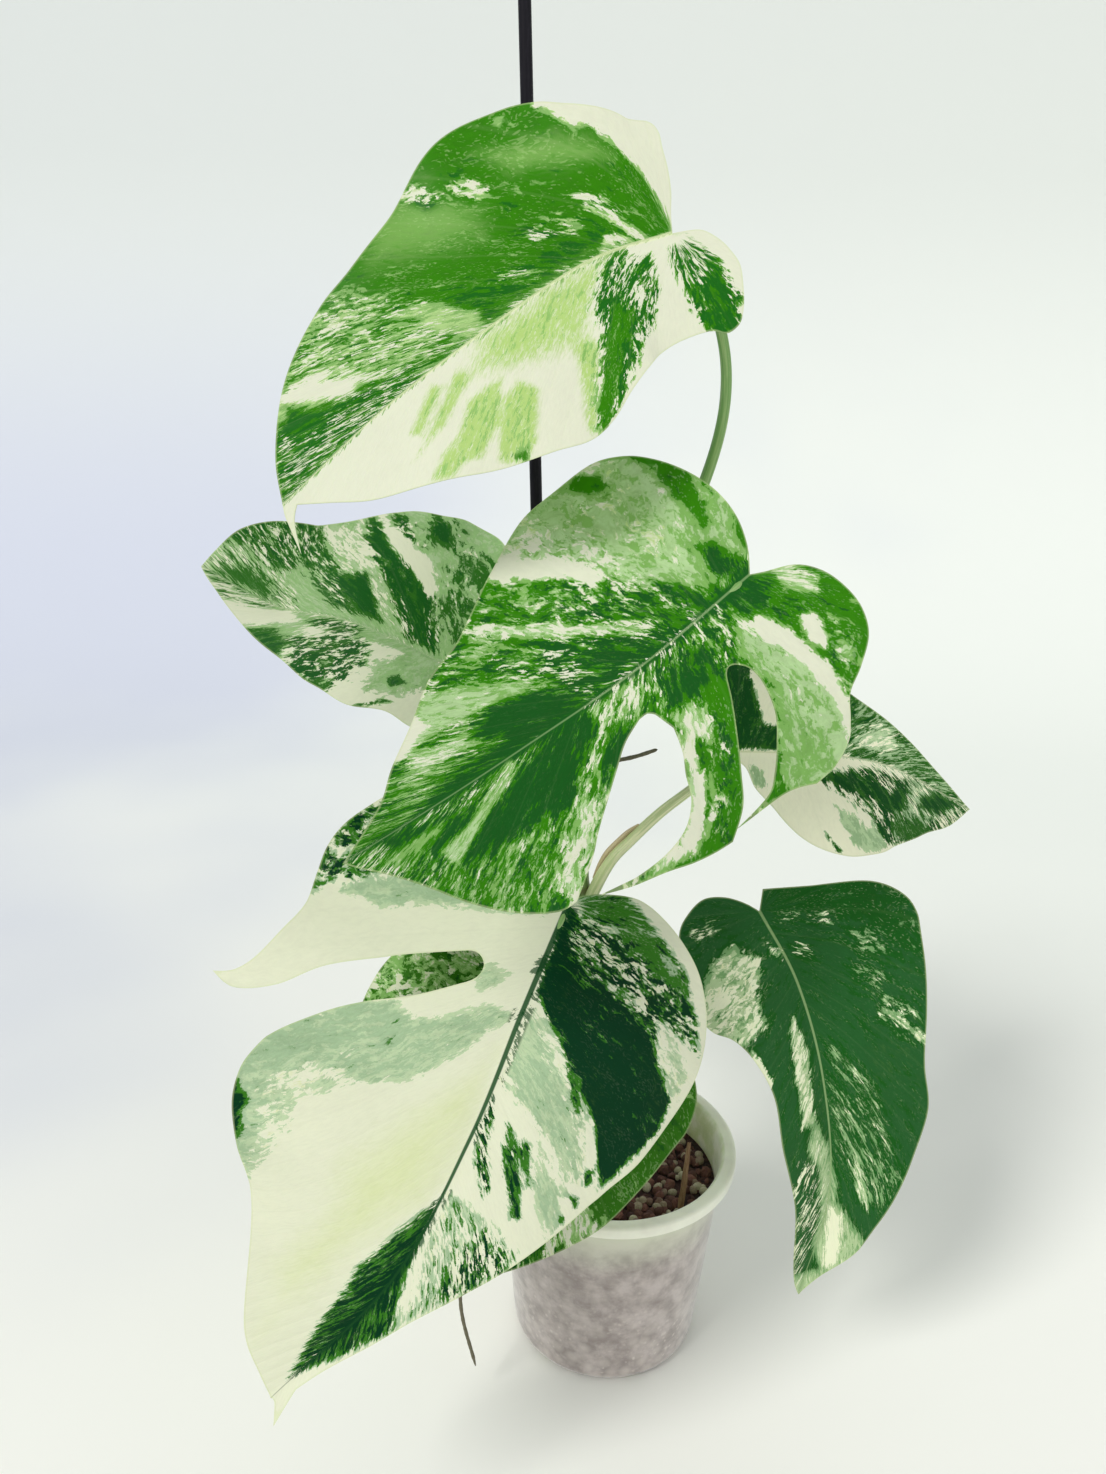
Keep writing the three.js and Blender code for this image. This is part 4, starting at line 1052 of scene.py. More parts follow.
# The large middle leaf, with two splits on its right side
MARKS_C = [
    Mark(Ink.FROST, [(74, 13), (80, 30), (76, 57), (68, 76), (36, 48), (9, 22), (2, 4), (16, -18),
        (36, -20), (54, -14), (68, -4)], 3),
    # Painted light where this part of the blade turns away from the key
    Mark(Ink.HAZE, [(74, 6), (82, 30), (78, 56), (60, 46), (36, 32), (22, 16), (44, 6)], 8),
    Mark(Ink.HAZE, [(74, 30), (62, 60), (68, 76), (80, 54)], 4),
    Mark(Ink.GREEN, [(77, 31), (74, 20), (67, 16), (61, 17), (65, 24)], 1.5),
    Mark(Ink.GREEN, [(70, 3), (63, -6), (47, -9), (33, -6), (25, -2), (24, 3), (40, 1), (57, 2)], 2),
    Mark(Ink.DARK, [(22, 9), (18, 2), (0, -2), (0, 6), (10, 12)], 2),
    Mark(Ink.GREEN, [(34, -22), (20, -18), (7, -8), (12, -5), (27, -14)], 1.5),
    Mark(Ink.DARK, [(24, 31), (10, 22), (2, 20), (4, 28), (15, 33)], 2),
    Mark(Ink.CREAM, [(66, 80), (68, 68), (56, 57), (40, 42), (35, 48), (45, 59), (58, 84)], 2.5),
    Mark(Ink.PALE, [(64, 70), (70, 56), (50, 40), (36, 36), (38, 44)], 4),
    Mark(Ink.FLECKED, [(60, 86), (45, 60), (23, 38), (0, 26), (20, 56), (46, 104)], 3),
    Mark(Ink.FRECKLED, [(62, 84), (54, 72), (38, 66), (36, 80), (46, 100)], 4),
    Mark(Ink.BLOTCH, [(48, 106), (26, 66), (0, 34), (0, 52), (0, 70), (20, 100), (30, 120), (44, 122)], 4),
    Mark(Ink.DARK, [(2, 44), (14, 62), (16, 78), (4, 74)], 5),
    Mark(Ink.PALE, [(46, 100), (36, 80), (20, 58), (8, 44), (20, 64), (34, 88), (44, 106)], 1.5),
    Mark(Ink.MINT, [(29, 142), (37, 130), (29, 116), (24, 104), (15, 90), (16, 99), (20, 122),
        (21, 148)], 1),
    Mark(Ink.FRECKLED, [(36, 126), (44, 112), (40, 96), (26, 86), (22, 92), (28, 110)], 3),
    Mark(Ink.FRECKLED, [(17, 114), (9, 92), (0, 78), (0, 190), (10, 172), (19, 158), (20, 146)], 3),
    Mark(Ink.PALE, [(10, 112), (16, 132), (18, 150), (13, 156), (12, 134), (7, 118)], 2),
    Mark(Ink.NIGHT, [(0, 84), (9, 88), (17, 100), (18, 116), (12, 130), (7, 118), (4, 150), (0, 160)], 2.5),
    Mark(Ink.CREAM, [(22, 156), (32, 140), (26, 138), (20, 150)], 1.5),
    Mark(Ink.NIGHT, [(0, 176), (-11, 134), (0, 100), (0, 71), (-10, 67), (-20, 81), (-31, 104), (-52, 126),
        (-48, 150), (-24, 176)], 3),
    Mark(Ink.FRECKLED, [(-32, 104), (-44, 118), (-52, 134), (-46, 156), (-30, 172), (-14, 180), (-12, 169),
        (-24, 158), (-26, 122)], 3),
    Mark(Ink.MINT, [(-15, 163), (-12, 148), (-7, 134), (-1, 121), (-4, 121), (-11, 136), (-17, 150),
        (-22, 162), (-18, 164)], 0.5),
    Mark(Ink.SAGE, [(-8, 182), (-6, 168), (-7, 154), (-10, 160), (-12, 178)], 1),
    Mark(Ink.MARBLE, [(-56, 134), (-46, 119), (-31, 103), (-18, 92), (-15, 84), (-9, 84), (-17, 101),
        (-34, 120), (-48, 141)], 2),
    Mark(Ink.PALE, [(-54, 134), (-44, 121), (-31, 107), (-28, 112), (-38, 126), (-46, 136)], 2),
    Mark(Ink.MARBLE, [(0, 86), (0, 58), (-11, 60), (-15, 71), (-14, 81), (-8, 87)], 2.5),
    Mark(Ink.FLECKED, [(0, 55), (-3, 36), (-13, 27), (-27, 36), (-25, 51), (-22, 66), (-12, 66)], 2.5),
    Mark(Ink.DARK, [(-8, 56), (-10, 40), (-22, 38), (-22, 52), (-20, 62)], 3),
    Mark(Ink.PALE, [(-22, 62), (-23, 52), (-31, 54), (-47, 63), (-58, 72), (-66, 82), (-74, 84), (-68, 108),
        (-50, 78), (-38, 68)], 2),
    Mark(Ink.CREAM, [(-30, 66), (-42, 69), (-56, 76), (-66, 92), (-72, 90), (-60, 72), (-44, 64)], 2),
    Mark(Ink.GREEN, [(-21, 48), (-24, 38), (-33, 39), (-48, 49), (-63, 58), (-72, 68), (-70, 72), (-54, 60),
        (-38, 51)], 2),
    Mark(Ink.GREEN, [(-36, 59), (-43, 61), (-56, 69), (-67, 81), (-66, 84), (-54, 72)], 1),
    Mark(Ink.DARK, [(-33, 61), (-35, 59), (-43, 63), (-45, 68)], 1),
    Mark(Ink.GREEN, [(-63, 112), (-65, 92), (-67, 83), (-69, 69), (-76, 73), (-72, 90), (-64, 116)], 1.5),
    Mark(Ink.FROST, [(-9, 13), (-19, 9), (-32, 5), (-51, 6), (-75, 10), (-84, 18), (-84, 34), (-73, 48),
        (-54, 39), (-42, 29), (-30, 26), (-20, 30)], 2),
    Mark(Ink.MINT, [(-20, 16), (-40, 13), (-62, 12), (-78, 16), (-76, 24), (-56, 22), (-36, 22)], 3),
    Mark(Ink.SAGE, [(-26, 25), (-44, 29), (-62, 38), (-74, 46), (-80, 34), (-60, 29), (-40, 24)], 2),
    Mark(Ink.CREAM, [(-4, 14), (-14, 10), (-26, 5), (-43, 3), (-61, 5), (-75, 8), (-74, 14), (-58, 10),
        (-38, 11), (-22, 15), (-12, 18)], 2),
    Mark(Ink.GREEN, [(-2, 0), (-8, -16), (-19, -27), (-36, -27), (-52, -19), (-62, -3), (-60, 0), (-47, -3),
        (-40, 5), (-28, 5), (-20, 7)], 2.5),
    Mark(Ink.FRECKLED, [(-26, -12), (-44, -14), (-56, -6), (-50, 0), (-34, -8)], 3),
    Mark(Ink.PALE, [(-4, -8), (-12, -6), (-22, -14), (-18, -18), (-8, -14)], 1.5),
    Mark(Ink.CREAM, [(-25, -1), (-28, -6), (-37, -4), (-41, 0), (-34, 2)], 1),
    Mark(Ink.GREEN, [(-70, 47), (-72, 66), (-82, 60), (-80, 40)], 1.5),
    Mark(Ink.DARK, [(2, 2), (-10, -2), (-14, 6), (-15, 15), (1, 18)], 2),
]
LEAF_C = LeafPlan(
    rib=[(41, -25, 384), (-1, -50, 353), (-45, -80, 329), (-76, -106, 315), (-98, -128, 307)],
    face=[(0.1, -0.8, 0.6), (0, -0.8, 0.6), (0, -0.75, 0.65)],
    fold=(14, 10, 14),
    curl=((5, 5, 7), (9, 10, 12)),
    right=[
        [(0, 0), (9, -7), (21, -12), (34, -13), (48, -10), (60, -4), (69, 5), (75, 18), (77, 40), (72, 62),
            (63, 82), (53, 98), (46, 110), (40, 126), (29, 142), (19, 158), (10, 170), (0, 192)],
    ],
    left=[
        [(0, 0), (-3, -5), (-9, -16), (-18, -22), (-29, -24), (-39, -23), (-48, -18), (-55, -7), (-60, 3),
            (-68, 9), (-74, 14), (-78, 24), (-78, 35)],
        [(-72, 47), (-70, 66)],
        [(-68, 52), (-63, 46), (-55, 39), (-46, 32), (-35, 28), (-27, 28), (-22, 32), (-23, 36), (-31, 41),
            (-42, 48), (-54, 55), (-65, 61), (-73, 70)],
        [(-72, 79), (-70, 88), (-66, 99), (-62, 114), (-58, 126)],
        [(-60, 114), (-61, 107), (-61, 95), (-58, 84), (-51, 76), (-42, 72), (-35, 68), (-26, 65)],
        [(-22, 66), (-18, 67)],
        [(-16, 69), (-16, 73)],
        [(-20, 83), (-26, 92), (-33, 102), (-40, 112), (-47, 121), (-55, 134)],
        [(-54, 142), (-45, 156), (-34, 168), (-23, 176), (-13, 183), (-5, 189), (0, 192)],
    ],
    stalk_radius=2.7,
    stalk=[(-19, 14, 256), (-16, 6, 290), (-9, 6, 325), (8, 2, 352), (28, -9, 372)],
    veins=((-0.6, 6.6), (-0.4, 4.2)),
    ground=Ink.FLECKED,
    marks=MARKS_C,
    finish=LeafFinish("leaf_c", dark=(0.01, 0.1, 0.012), sage=(0.22, 0.45, 0.11), mint=(0.46, 0.66, 0.32),
        glow=(0.5, 0.68, 0.26), rib=(0.24, 0.4, 0.16), rib_shade=0.8, rib_width=0.6, rib_share=0.7,
        turn=3.7),
    stalk_finish=GREEN_STALK,
)

# The largest leaf, lower left, with a slot on its left side
MARKS_D = [
    # Painted glow of light through the middle of the blade
    Mark(Ink.GLOW, [(1, 60), (1, 124), (18, 160), (19, 205), (38, 180), (40, 125), (26, 92)], 18),
    Mark(Ink.FROST, [(60, 67), (79, 80), (90, 101), (90, 118), (77, 140), (64, 154), (71, 124), (62, 108),
        (50, 98), (28, 86), (8, 58), (0, 47), (14, 50), (28, 60), (38, 64), (46, 61)], 1.5),
    Mark(Ink.SAGE, [(58, 65), (78, 80), (90, 98), (88, 112), (78, 104), (62, 88), (46, 78), (32, 66)], 1.5),
    Mark(Ink.PALE, [(76, 108), (66, 148), (60, 122), (64, 110), (50, 96), (58, 94), (70, 102)], 2.5),
    Mark(Ink.DARK, [(90, 120), (90, 111), (79, 118), (80, 122), (77, 132), (76, 142), (84, 132)], 1),
    Mark(Ink.MINT, [(23, 42), (19, 35), (9, 35), (13, 43), (19, 47)], 2),
    Mark(Ink.SAGE, [(3, 34), (3, 28), (0, 22), (-1, 30)], 1.5),
    Mark(Ink.FLECKED, [(66, -27), (84, -14), (95, 8), (99, 22), (96, 42), (83, 31), (66, 19),
        (46, 8)], 2.5),
    Mark(Ink.SAGE, [(85, 35), (66, 18), (46, 12), (18, 5), (2, 1), (6, 10), (32, 19), (68, 34)], 2.5),
    Mark(Ink.GREEN, [(60, -4), (40, -14), (18, -12), (6, -2), (24, 4), (46, 6)], 5),
    Mark(Ink.SPECKED, [(0, 117), (9, 136), (14, 157), (11, 177), (8, 190), (1, 207), (-3, 196), (-13, 166),
        (-7, 157), (0, 137)], 1.2),
    Mark(Ink.DARK, [(0, 128), (5, 142), (7, 158), (3, 176), (0, 186), (-2, 160)], 4),
    Mark(Ink.FRECKLED, [(0, -4), (-10, -12), (-19, -14), (-43, -2), (-56, 5), (-72, 20), (-79, 32),
        (-69, 27), (-60, 19), (-40, 21), (-19, 13)], 1.5),
    Mark(Ink.GREEN, [(-6, -4), (-19, -10), (-40, 0), (-58, 12), (-40, 10), (-20, 2)], 4),
    Mark(Ink.NIGHT, [(0, 0), (-19, 12), (-40, 20), (-54, 21), (-54, 34), (-72, 54), (-72, 68), (-54, 94),
        (-44, 83), (-36, 71), (-22, 57), (-12, 49), (-2, 39), (0, 14)], 1.8),
    Mark(Ink.FLECKED, [(-4, 6), (-20, 14), (-40, 24), (-54, 34), (-40, 30), (-20, 24), (-6, 18)], 4),
    Mark(Ink.BLOTCH, [(-8, 2), (-26, 6), (-43, 10), (-68, 18), (-75, 31), (-52, 30), (-30, 27),
        (-10, 16)], 2.5),
    Mark(Ink.PALE, [(-52, 27), (-65, 29), (-76, 42), (-75, 56), (-59, 42)], 2.5),
    Mark(Ink.PALE, [(-1, 40), (-1, 74), (-7, 77), (-22, 85), (-34, 91), (-51, 103), (-50, 91), (-38, 75),
        (-22, 58), (-12, 50)], 2),
    Mark(Ink.FROST, [(-3, 46), (-3, 70), (-16, 78), (-30, 86), (-42, 92), (-36, 78), (-18, 60)], 3),
    Mark(Ink.DARK, [(-19, 51), (-28, 61), (-37, 76), (-30, 71)], 1),
    Mark(Ink.CREAM, [(-40, 74), (-52, 92), (-54, 104), (-48, 112), (-44, 100), (-46, 90)], 1.5),
    Mark(Ink.BLOTCH, [(-1, 78), (-5, 84), (-8, 96), (-15, 108), (-14, 114), (-6, 106), (0, 92)], 1),
    Mark(Ink.SPECKED, [(-8, 85), (-13, 86), (-22, 98), (-31, 115), (-26, 116), (-15, 101)], 0.6),
    Mark(Ink.SPECKED, [(-16, 88), (-21, 89), (-30, 102), (-26, 104), (-20, 96)], 0.6),
    Mark(Ink.DARK, [(-45, 91), (-48, 87), (-51, 93), (-47, 95)], 0.8),
    Mark(Ink.DARK, [(-42, 99), (-48, 99), (-49, 105)], 0.8),
    Mark(Ink.DARK, [(-41, 107), (-48, 108), (-45, 113)], 0.8),
    Mark(Ink.MARBLE, [(0, 116), (-2, 130), (-8, 150), (-12, 166), (-20, 152), (-34, 134), (-37, 126),
        (-23, 120), (-11, 117)], 2),
    Mark(Ink.BLOTCH, [(-20, 122), (-34, 126), (-34, 132), (-20, 150), (-14, 140)], 2.5),
    Mark(Ink.FROST, [(-24, 88), (-42, 100), (-44, 118), (-32, 107)], 2),
]
LEAF_D = LeafPlan(
    rib=[(-25, -48, 254), (-42, -78, 223), (-60, -106, 186), (-87, -128, 140), (-129, -142, 100)],
    face=[(0.05, -0.88, 0.5), (0.05, -0.93, 0.4), (0, -0.95, 0.3)],
    fold=(10, 8, 10),
    curl=((3, 2, 2), (7, 10, 12)),
    right=[
        [(0, 0), (8, -8), (22, -18), (40, -25), (60, -25), (76, -20), (86, -8), (93, 8), (96, 21), (95, 32),
            (93, 44), (96, 54), (101, 66), (107, 74), (114, 78)],
        [(104, 81), (90, 73), (76, 60), (56, 49), (35, 38), (26, 34), (21, 37), (22, 43), (29, 49),
            (42, 58), (57, 66), (69, 75), (80, 88), (86, 101), (87, 111), (84, 124), (75, 139), (67, 150),
            (59, 165), (48, 180), (32, 198), (22, 206), (10, 211), (0, 215)],
    ],
    left=[
        [(0, 0), (-4, -5), (-14, -10), (-26, -13), (-39, -10), (-53, -3), (-65, 6), (-75, 18), (-79, 33),
            (-77, 57), (-68, 79), (-57, 94), (-48, 111), (-35, 130), (-24, 145), (-15, 160), (-10, 176),
            (-6, 192), (-4, 206)],
        [(-8, 221)],
        [(-2, 215), (0, 215)],
    ],
    stalk_radius=2.8,
    stalk=[(-17, 12, 188), (-20, -4, 214), (-24, -24, 240), (-25, -39, 252)],
    veins=((0.4, 2.6), (0.1, 1.75)),
    ground=Ink.CREAM,
    marks=MARKS_D,
    finish=replace(DEEP_LEAF, name="leaf_d", dark=(0.001, 0.036, 0.011), green=(0.04, 0.19, 0.014),
        sage=(0.38, 0.53, 0.32), mint=(0.53, 0.66, 0.41), rib=(0.008, 0.06, 0.014),
        rib_cream=(0.012, 0.08, 0.02), rib_share=0.95, rib_shade=0.7, rib_width=1.7, vein_share=0.02,
        turn=5.1),
    stalk_finish=GREEN_STALK,
)

# The small leaf under the largest
MARKS_E = [
    Mark(Ink.GREEN, [(-30, -20), (-60, 0), (-78, 30), (-66, 62), (-50, 90), (-30, 80), (-40, 30)], 8),
    Mark(Ink.MARBLE, [(81, 20), (47, 6), (36, 10), (52, 32), (82, 48)], 5),
    Mark(Ink.SAGE, [(10, 20), (30, 40), (60, 60), (50, 90), (20, 80), (4, 50)], 8),
    Mark(Ink.PALE, [(-10, 40), (-30, 60), (-50, 84), (-40, 96), (-16, 70)], 4),
]
LEAF_E = LeafPlan(
    rib=[(-21, -32, 207), (-39, -56, 176), (-58, -78, 143), (-77, -92, 108)],
    face=[(0, -0.8, 0.6), (0, -0.85, 0.5), (0, -0.9, 0.4)],
    fold=(8, 8, 10),
    curl=((4, 4, 4), (8, 8, 8)),
    right=[
        [(0, 0), (8, -7), (20, -11), (36, -11), (54, -5), (68, 8), (77, 24), (79, 38), (76, 54), (66, 76),
            (50, 96), (30, 114), (12, 126), (0, 134)],
    ],
    left=[
        [(0, 0), (-6, -6), (-18, -10), (-34, -9), (-50, -2), (-62, 10), (-69, 20), (-70, 32), (-67, 42),
            (-62, 60), (-54, 79), (-44, 93), (-34, 105), (-22, 117), (-10, 128), (0, 134)],
    ],
    stalk_radius=2.4,
    stalk=[(-13, 9, 150), (-16, -6, 172), (-20, -18, 192), (-21, -26, 204)],
    veins=((-0.3, 3.4), (0.3, 2.0)),
    ground=Ink.FLECKED,
    marks=MARKS_E,
    finish=LeafFinish("leaf_e", dark=(0.008, 0.09, 0.007), green=(0.035, 0.17, 0.006), turn=6.4),
    stalk_finish=GREEN_STALK,
)

# The hanging leaf, lower right
MARKS_F = [
    Mark(Ink.GREEN, [(-10, -10), (-40, 2), (-66, 24), (-60, 44), (-30, 24), (-8, 4)], 8),
    Mark(Ink.PALE, [(45, 19), (33, 10), (20, 8), (13, 18), (21, 36), (23, 49), (37, 54), (52, 40)], 3),
    Mark(Ink.FLECKED, [(38, -8), (24, -5), (22, 4), (36, 5)], 3),
    Mark(Ink.FLECKED, [(-5, 4), (-27, 14), (-26, 20), (-5, 9)], 2),
    Mark(Ink.FRECKLED, [(-30, 22), (-43, 28), (-44, 40), (-30, 34)], 3),
    Mark(Ink.SPRAY, [(-4, 15), (-12, 24), (-12, 31), (-4, 24)], 1),
    Mark(Ink.FRECKLED, [(-26, 34), (-38, 42), (-34, 50), (-24, 44)], 3),
    Mark(Ink.WASH, [(-34, 51), (-47, 58), (-50, 74), (-39, 67), (-29, 57)], 2.5),
    Mark(Ink.SPRAY, [(5, 13), (-1, 20), (3, 25), (7, 19)], 1),
    Mark(Ink.PALE, [(8, 48), (5, 64), (8, 94), (14, 97), (14, 75), (12, 56)], 1.5),
    Mark(Ink.CREAM, [(32, 56), (26, 72), (28, 76), (34, 62)], 0.6),
    Mark(Ink.FRECKLED, [(-4, 60), (-13, 70), (-22, 81), (-23, 92), (-15, 86), (-5, 74)], 2),
    Mark(Ink.FRECKLED, [(0, 76), (-22, 92), (-33, 123), (-25, 138), (-9, 126), (-1, 106)], 3),
    Mark(Ink.PALE, [(-10, 112), (-14, 122), (-18, 136), (-12, 130)], 1),
    Mark(Ink.MINT, [(7, 93), (0, 110), (-4, 133), (-20, 150), (-19, 164), (-9, 174), (3, 156), (7, 122),
        (13, 106)], 2),
    Mark(Ink.CREAM, [(-1, 136), (-7, 141), (-11, 163), (-7, 167)], 1.2),
    Mark(Ink.BLOTCH, [(25, 123), (17, 108), (8, 116), (3, 143), (3, 172), (6, 178), (17, 154)], 2),
    Mark(Ink.MINT, [(12, 174), (2, 172), (-8, 168), (-8, 181), (2, 190)], 2),
]
LEAF_F = LeafPlan(
    rib=[(62, 2, 227), (78, -16, 201), (89, -34, 164), (94, -46, 115), (85, -50, 64)],
    face=[(0.12, -0.9, 0.45), (0.18, -0.93, 0.35), (0.25, -0.93, 0.25)],
    fold=(20, 18, 16),
    curl=((3, 4, 5), (5, 5, 5)),
    right=[
        [(0, 0), (5, -6), (13, -12), (23, -15), (33, -12), (41, -6), (46, 6), (50, 20), (50, 34), (47, 43),
            (39, 50), (32, 62), (26, 80), (25, 104), (18, 134), (11, 160), (5, 176), (0, 184)],
    ],
    left=[
        [(0, 0), (-3, -4), (-6, -8)],
        [(-18, -3), (-32, 3), (-50, 12), (-60, 21), (-62, 28), (-58, 37), (-51, 60), (-45, 78), (-44, 97),
            (-36, 116), (-24, 141), (-18, 157), (-7, 172), (0, 184)],
    ],
    stalk_radius=2.6,
    stalk=[(-13, 9, 130), (1, 2, 149), (18, 0, 170), (38, 2, 198), (54, 4, 220)],
    veins=((0.0, 3.6), (0.5, 3.0)),
    ground=Ink.DARK,
    marks=MARKS_F,
    # Its dark is greyer and lighter than its green, a painted sheen on the middle of the blade
    finish=replace(DEEP_LEAF, name="leaf_f", dark=(0.02, 0.11, 0.025), green=(0.01, 0.1, 0.01),
        mint=(0.48, 0.63, 0.34), cream=(0.84, 0.87, 0.62), rib=(0.28, 0.42, 0.18), rib_shade=0.2,
        rib_width=0.95, turn=7.9),
    stalk_finish=GREEN_STALK,
)

# The back right leaf, on the cream stalk
MARKS_G = [
    Mark(Ink.CREAM, [(-1, -10), (-1, 142), (70, 142), (70, -10)], 1.5),
    Mark(Ink.FRECKLED, [(0, 50), (-14, 56), (-34, 50), (-40, 70), (-10, 130), (0, 140)], 3),
    Mark(Ink.CREAM, [(-52, 22), (-42, 29), (-27, 29), (-14, 27), (-14, 20), (-26, 19), (-38, 18)], 1.5),
    Mark(Ink.PALE, [(-9, 67), (-19, 82), (-11, 91), (-5, 80)], 3),
    Mark(Ink.BLOTCH, [(12, 40), (6, 60), (2, 80), (4, 92), (0, 100), (-1, 144), (22, 126), (42, 92),
        (44, 74), (32, 66), (24, 54), (18, 44)], 3),
    Mark(Ink.DARK, [(12, 44), (10, 60), (16, 84), (8, 100), (24, 92), (24, 80), (18, 60)], 3),
    Mark(Ink.WASH, [(0, 98), (12, 96), (26, 88), (34, 90), (20, 112), (0, 138)], 4),
    Mark(Ink.DARK, [(2, 118), (8, 108), (16, 104), (12, 118), (2, 132)], 2),
    Mark(Ink.GREEN, [(28, 116), (20, 106), (30, 84), (38, 84), (36, 100)], 3),
    Mark(Ink.FROST, [(26, 46), (33, 61), (44, 76), (49, 64), (47, 52)], 2),
    Mark(Ink.DARK, [(36, 38), (44, 43), (51, 48), (50, 43), (42, 39)], 0.8),
    Mark(Ink.SAGE, [(5, 8), (10, 15), (21, 15), (19, 9)], 1.5),
]
LEAF_G = LeafPlan(
    rib=[(47, 30, 293), (72, 36, 291), (108, 46, 286), (135, 54, 277), (175, 64, 254)],
    face=[(0.2, -0.7, 0.7), (0.2, -0.7, 0.7), (0.3, -0.75, 0.6)],
    fold=(10, 10, 10),
    curl=((6, 5, 5), (6, 6, 6)),
    right=[
        [(0, 0), (4, 3), (9, 7), (19, 9), (28, 15), (38, 22), (46, 32), (51, 46), (51, 58), (46, 76),
            (36, 98), (26, 112), (16, 126), (0, 140)],
    ],
    left=[
        [(0, 0), (-5, -6), (-16, -13), (-32, -13), (-46, -5), (-55, 8), (-57, 24), (-52, 42), (-43, 57),
            (-33, 69), (-22, 86), (-12, 107), (-5, 126), (0, 140)],
    ],
    stalk_radius=3.1,
    stalk=[(-18, 12, 214), (-12, 9.5, 233), (-5, 12, 246), (3, 15, 254), (17, 19, 267), (30, 23, 276.5),
        (42, 27, 286)],
    veins=((-0.6, 3.0), (0.3, 3.0)),
    ground=Ink.DARK,
    marks=MARKS_G,
    # Its sage, mint and cream are lightened: painted light where leaf c shades it
    finish=replace(DEEP_LEAF, name="leaf_g", sage=(0.36, 0.54, 0.28), mint=(0.54, 0.72, 0.4),
        cream=(0.95, 0.95, 0.7), rib=(0.35, 0.45, 0.25), rib_shade=0.1, rib_width=0.6, turn=9.2),
    stalk_finish=CREAM_STALK,
)

PLANS = dict(zip("abcdefg", (LEAF_A, LEAF_B, LEAF_C, LEAF_D, LEAF_E, LEAF_F, LEAF_G)))


class BladeSurface:
    """The curved sheet that a leaf's flat outline is laid on."""

    RIPPLE = 1.2
    RIPPLE_LENGTH = 45.0
    RIPPLE_REACH = 60.0
    BEHIND = 0.35
    STEP = 0.5

    def __init__(self, plan: LeafPlan) -> None:
        """Measures the rib."""
        self.plan = plan
        self.rib = catmull(plan.rib, False, 60)
        self.at = lengths(self.rib)
        self.length = self.at[-1]
        self.tangent = unit(np.gradient(self.rib, self.at, axis=0))

    def frame_at(self, along: Array) -> tuple[Array, Array, Array]:
        """The rib's point, its across direction and its normal at distances along it."""
        held = np.clip(along, 0, self.length)
        tangent = unit(read_at(held, self.at, self.tangent))
        normal = blend(self.plan.face, (held / self.length)[:, None])
        normal = unit(normal - tangent * np.sum(normal * tangent, axis=1, keepdims=True))
        point = read_at(held, self.at, self.rib) + tangent * (along - held)[:, None]
        return point, np.cross(tangent, normal), normal

    def points(self, flat: Array) -> Array:
        """Where flat points [across, along] come to lie."""
        across, along = flat.T
        point, sideways, normal = self.frame_at(along)
        reach = np.clip((along / self.length + self.BEHIND) / (1 + self.BEHIND), 0, 1)
        right, left = self.plan.curl
        curl = np.where(across > 0, blend(right, reach), blend(left, reach)) / 1000
        fold = np.radians(blend(self.plan.fold, reach))
        distance = np.abs(across)
        shift = (np.sin(fold) - np.sin(fold - curl * distance)) / curl
        lift = (np.cos(fold - curl * distance) - np.cos(fold)) / curl
        phase = 2 * np.pi * along / self.RIPPLE_LENGTH + np.where(across > 0, 0, 2)
        lift = lift + self.RIPPLE * (distance / self.RIPPLE_REACH) ** 2 * np.sin(phase)
        return point + sideways * (np.sign(across) * shift)[:, None] + normal * lift[:, None]

    def normals(self, flat: Array) -> Array:
        """The sheet's upward direction at flat points."""
        ways = self.STEP * np.eye(2)
        return unit(np.cross(*(self.points(flat + way) - self.points(flat - way) for way in ways)))


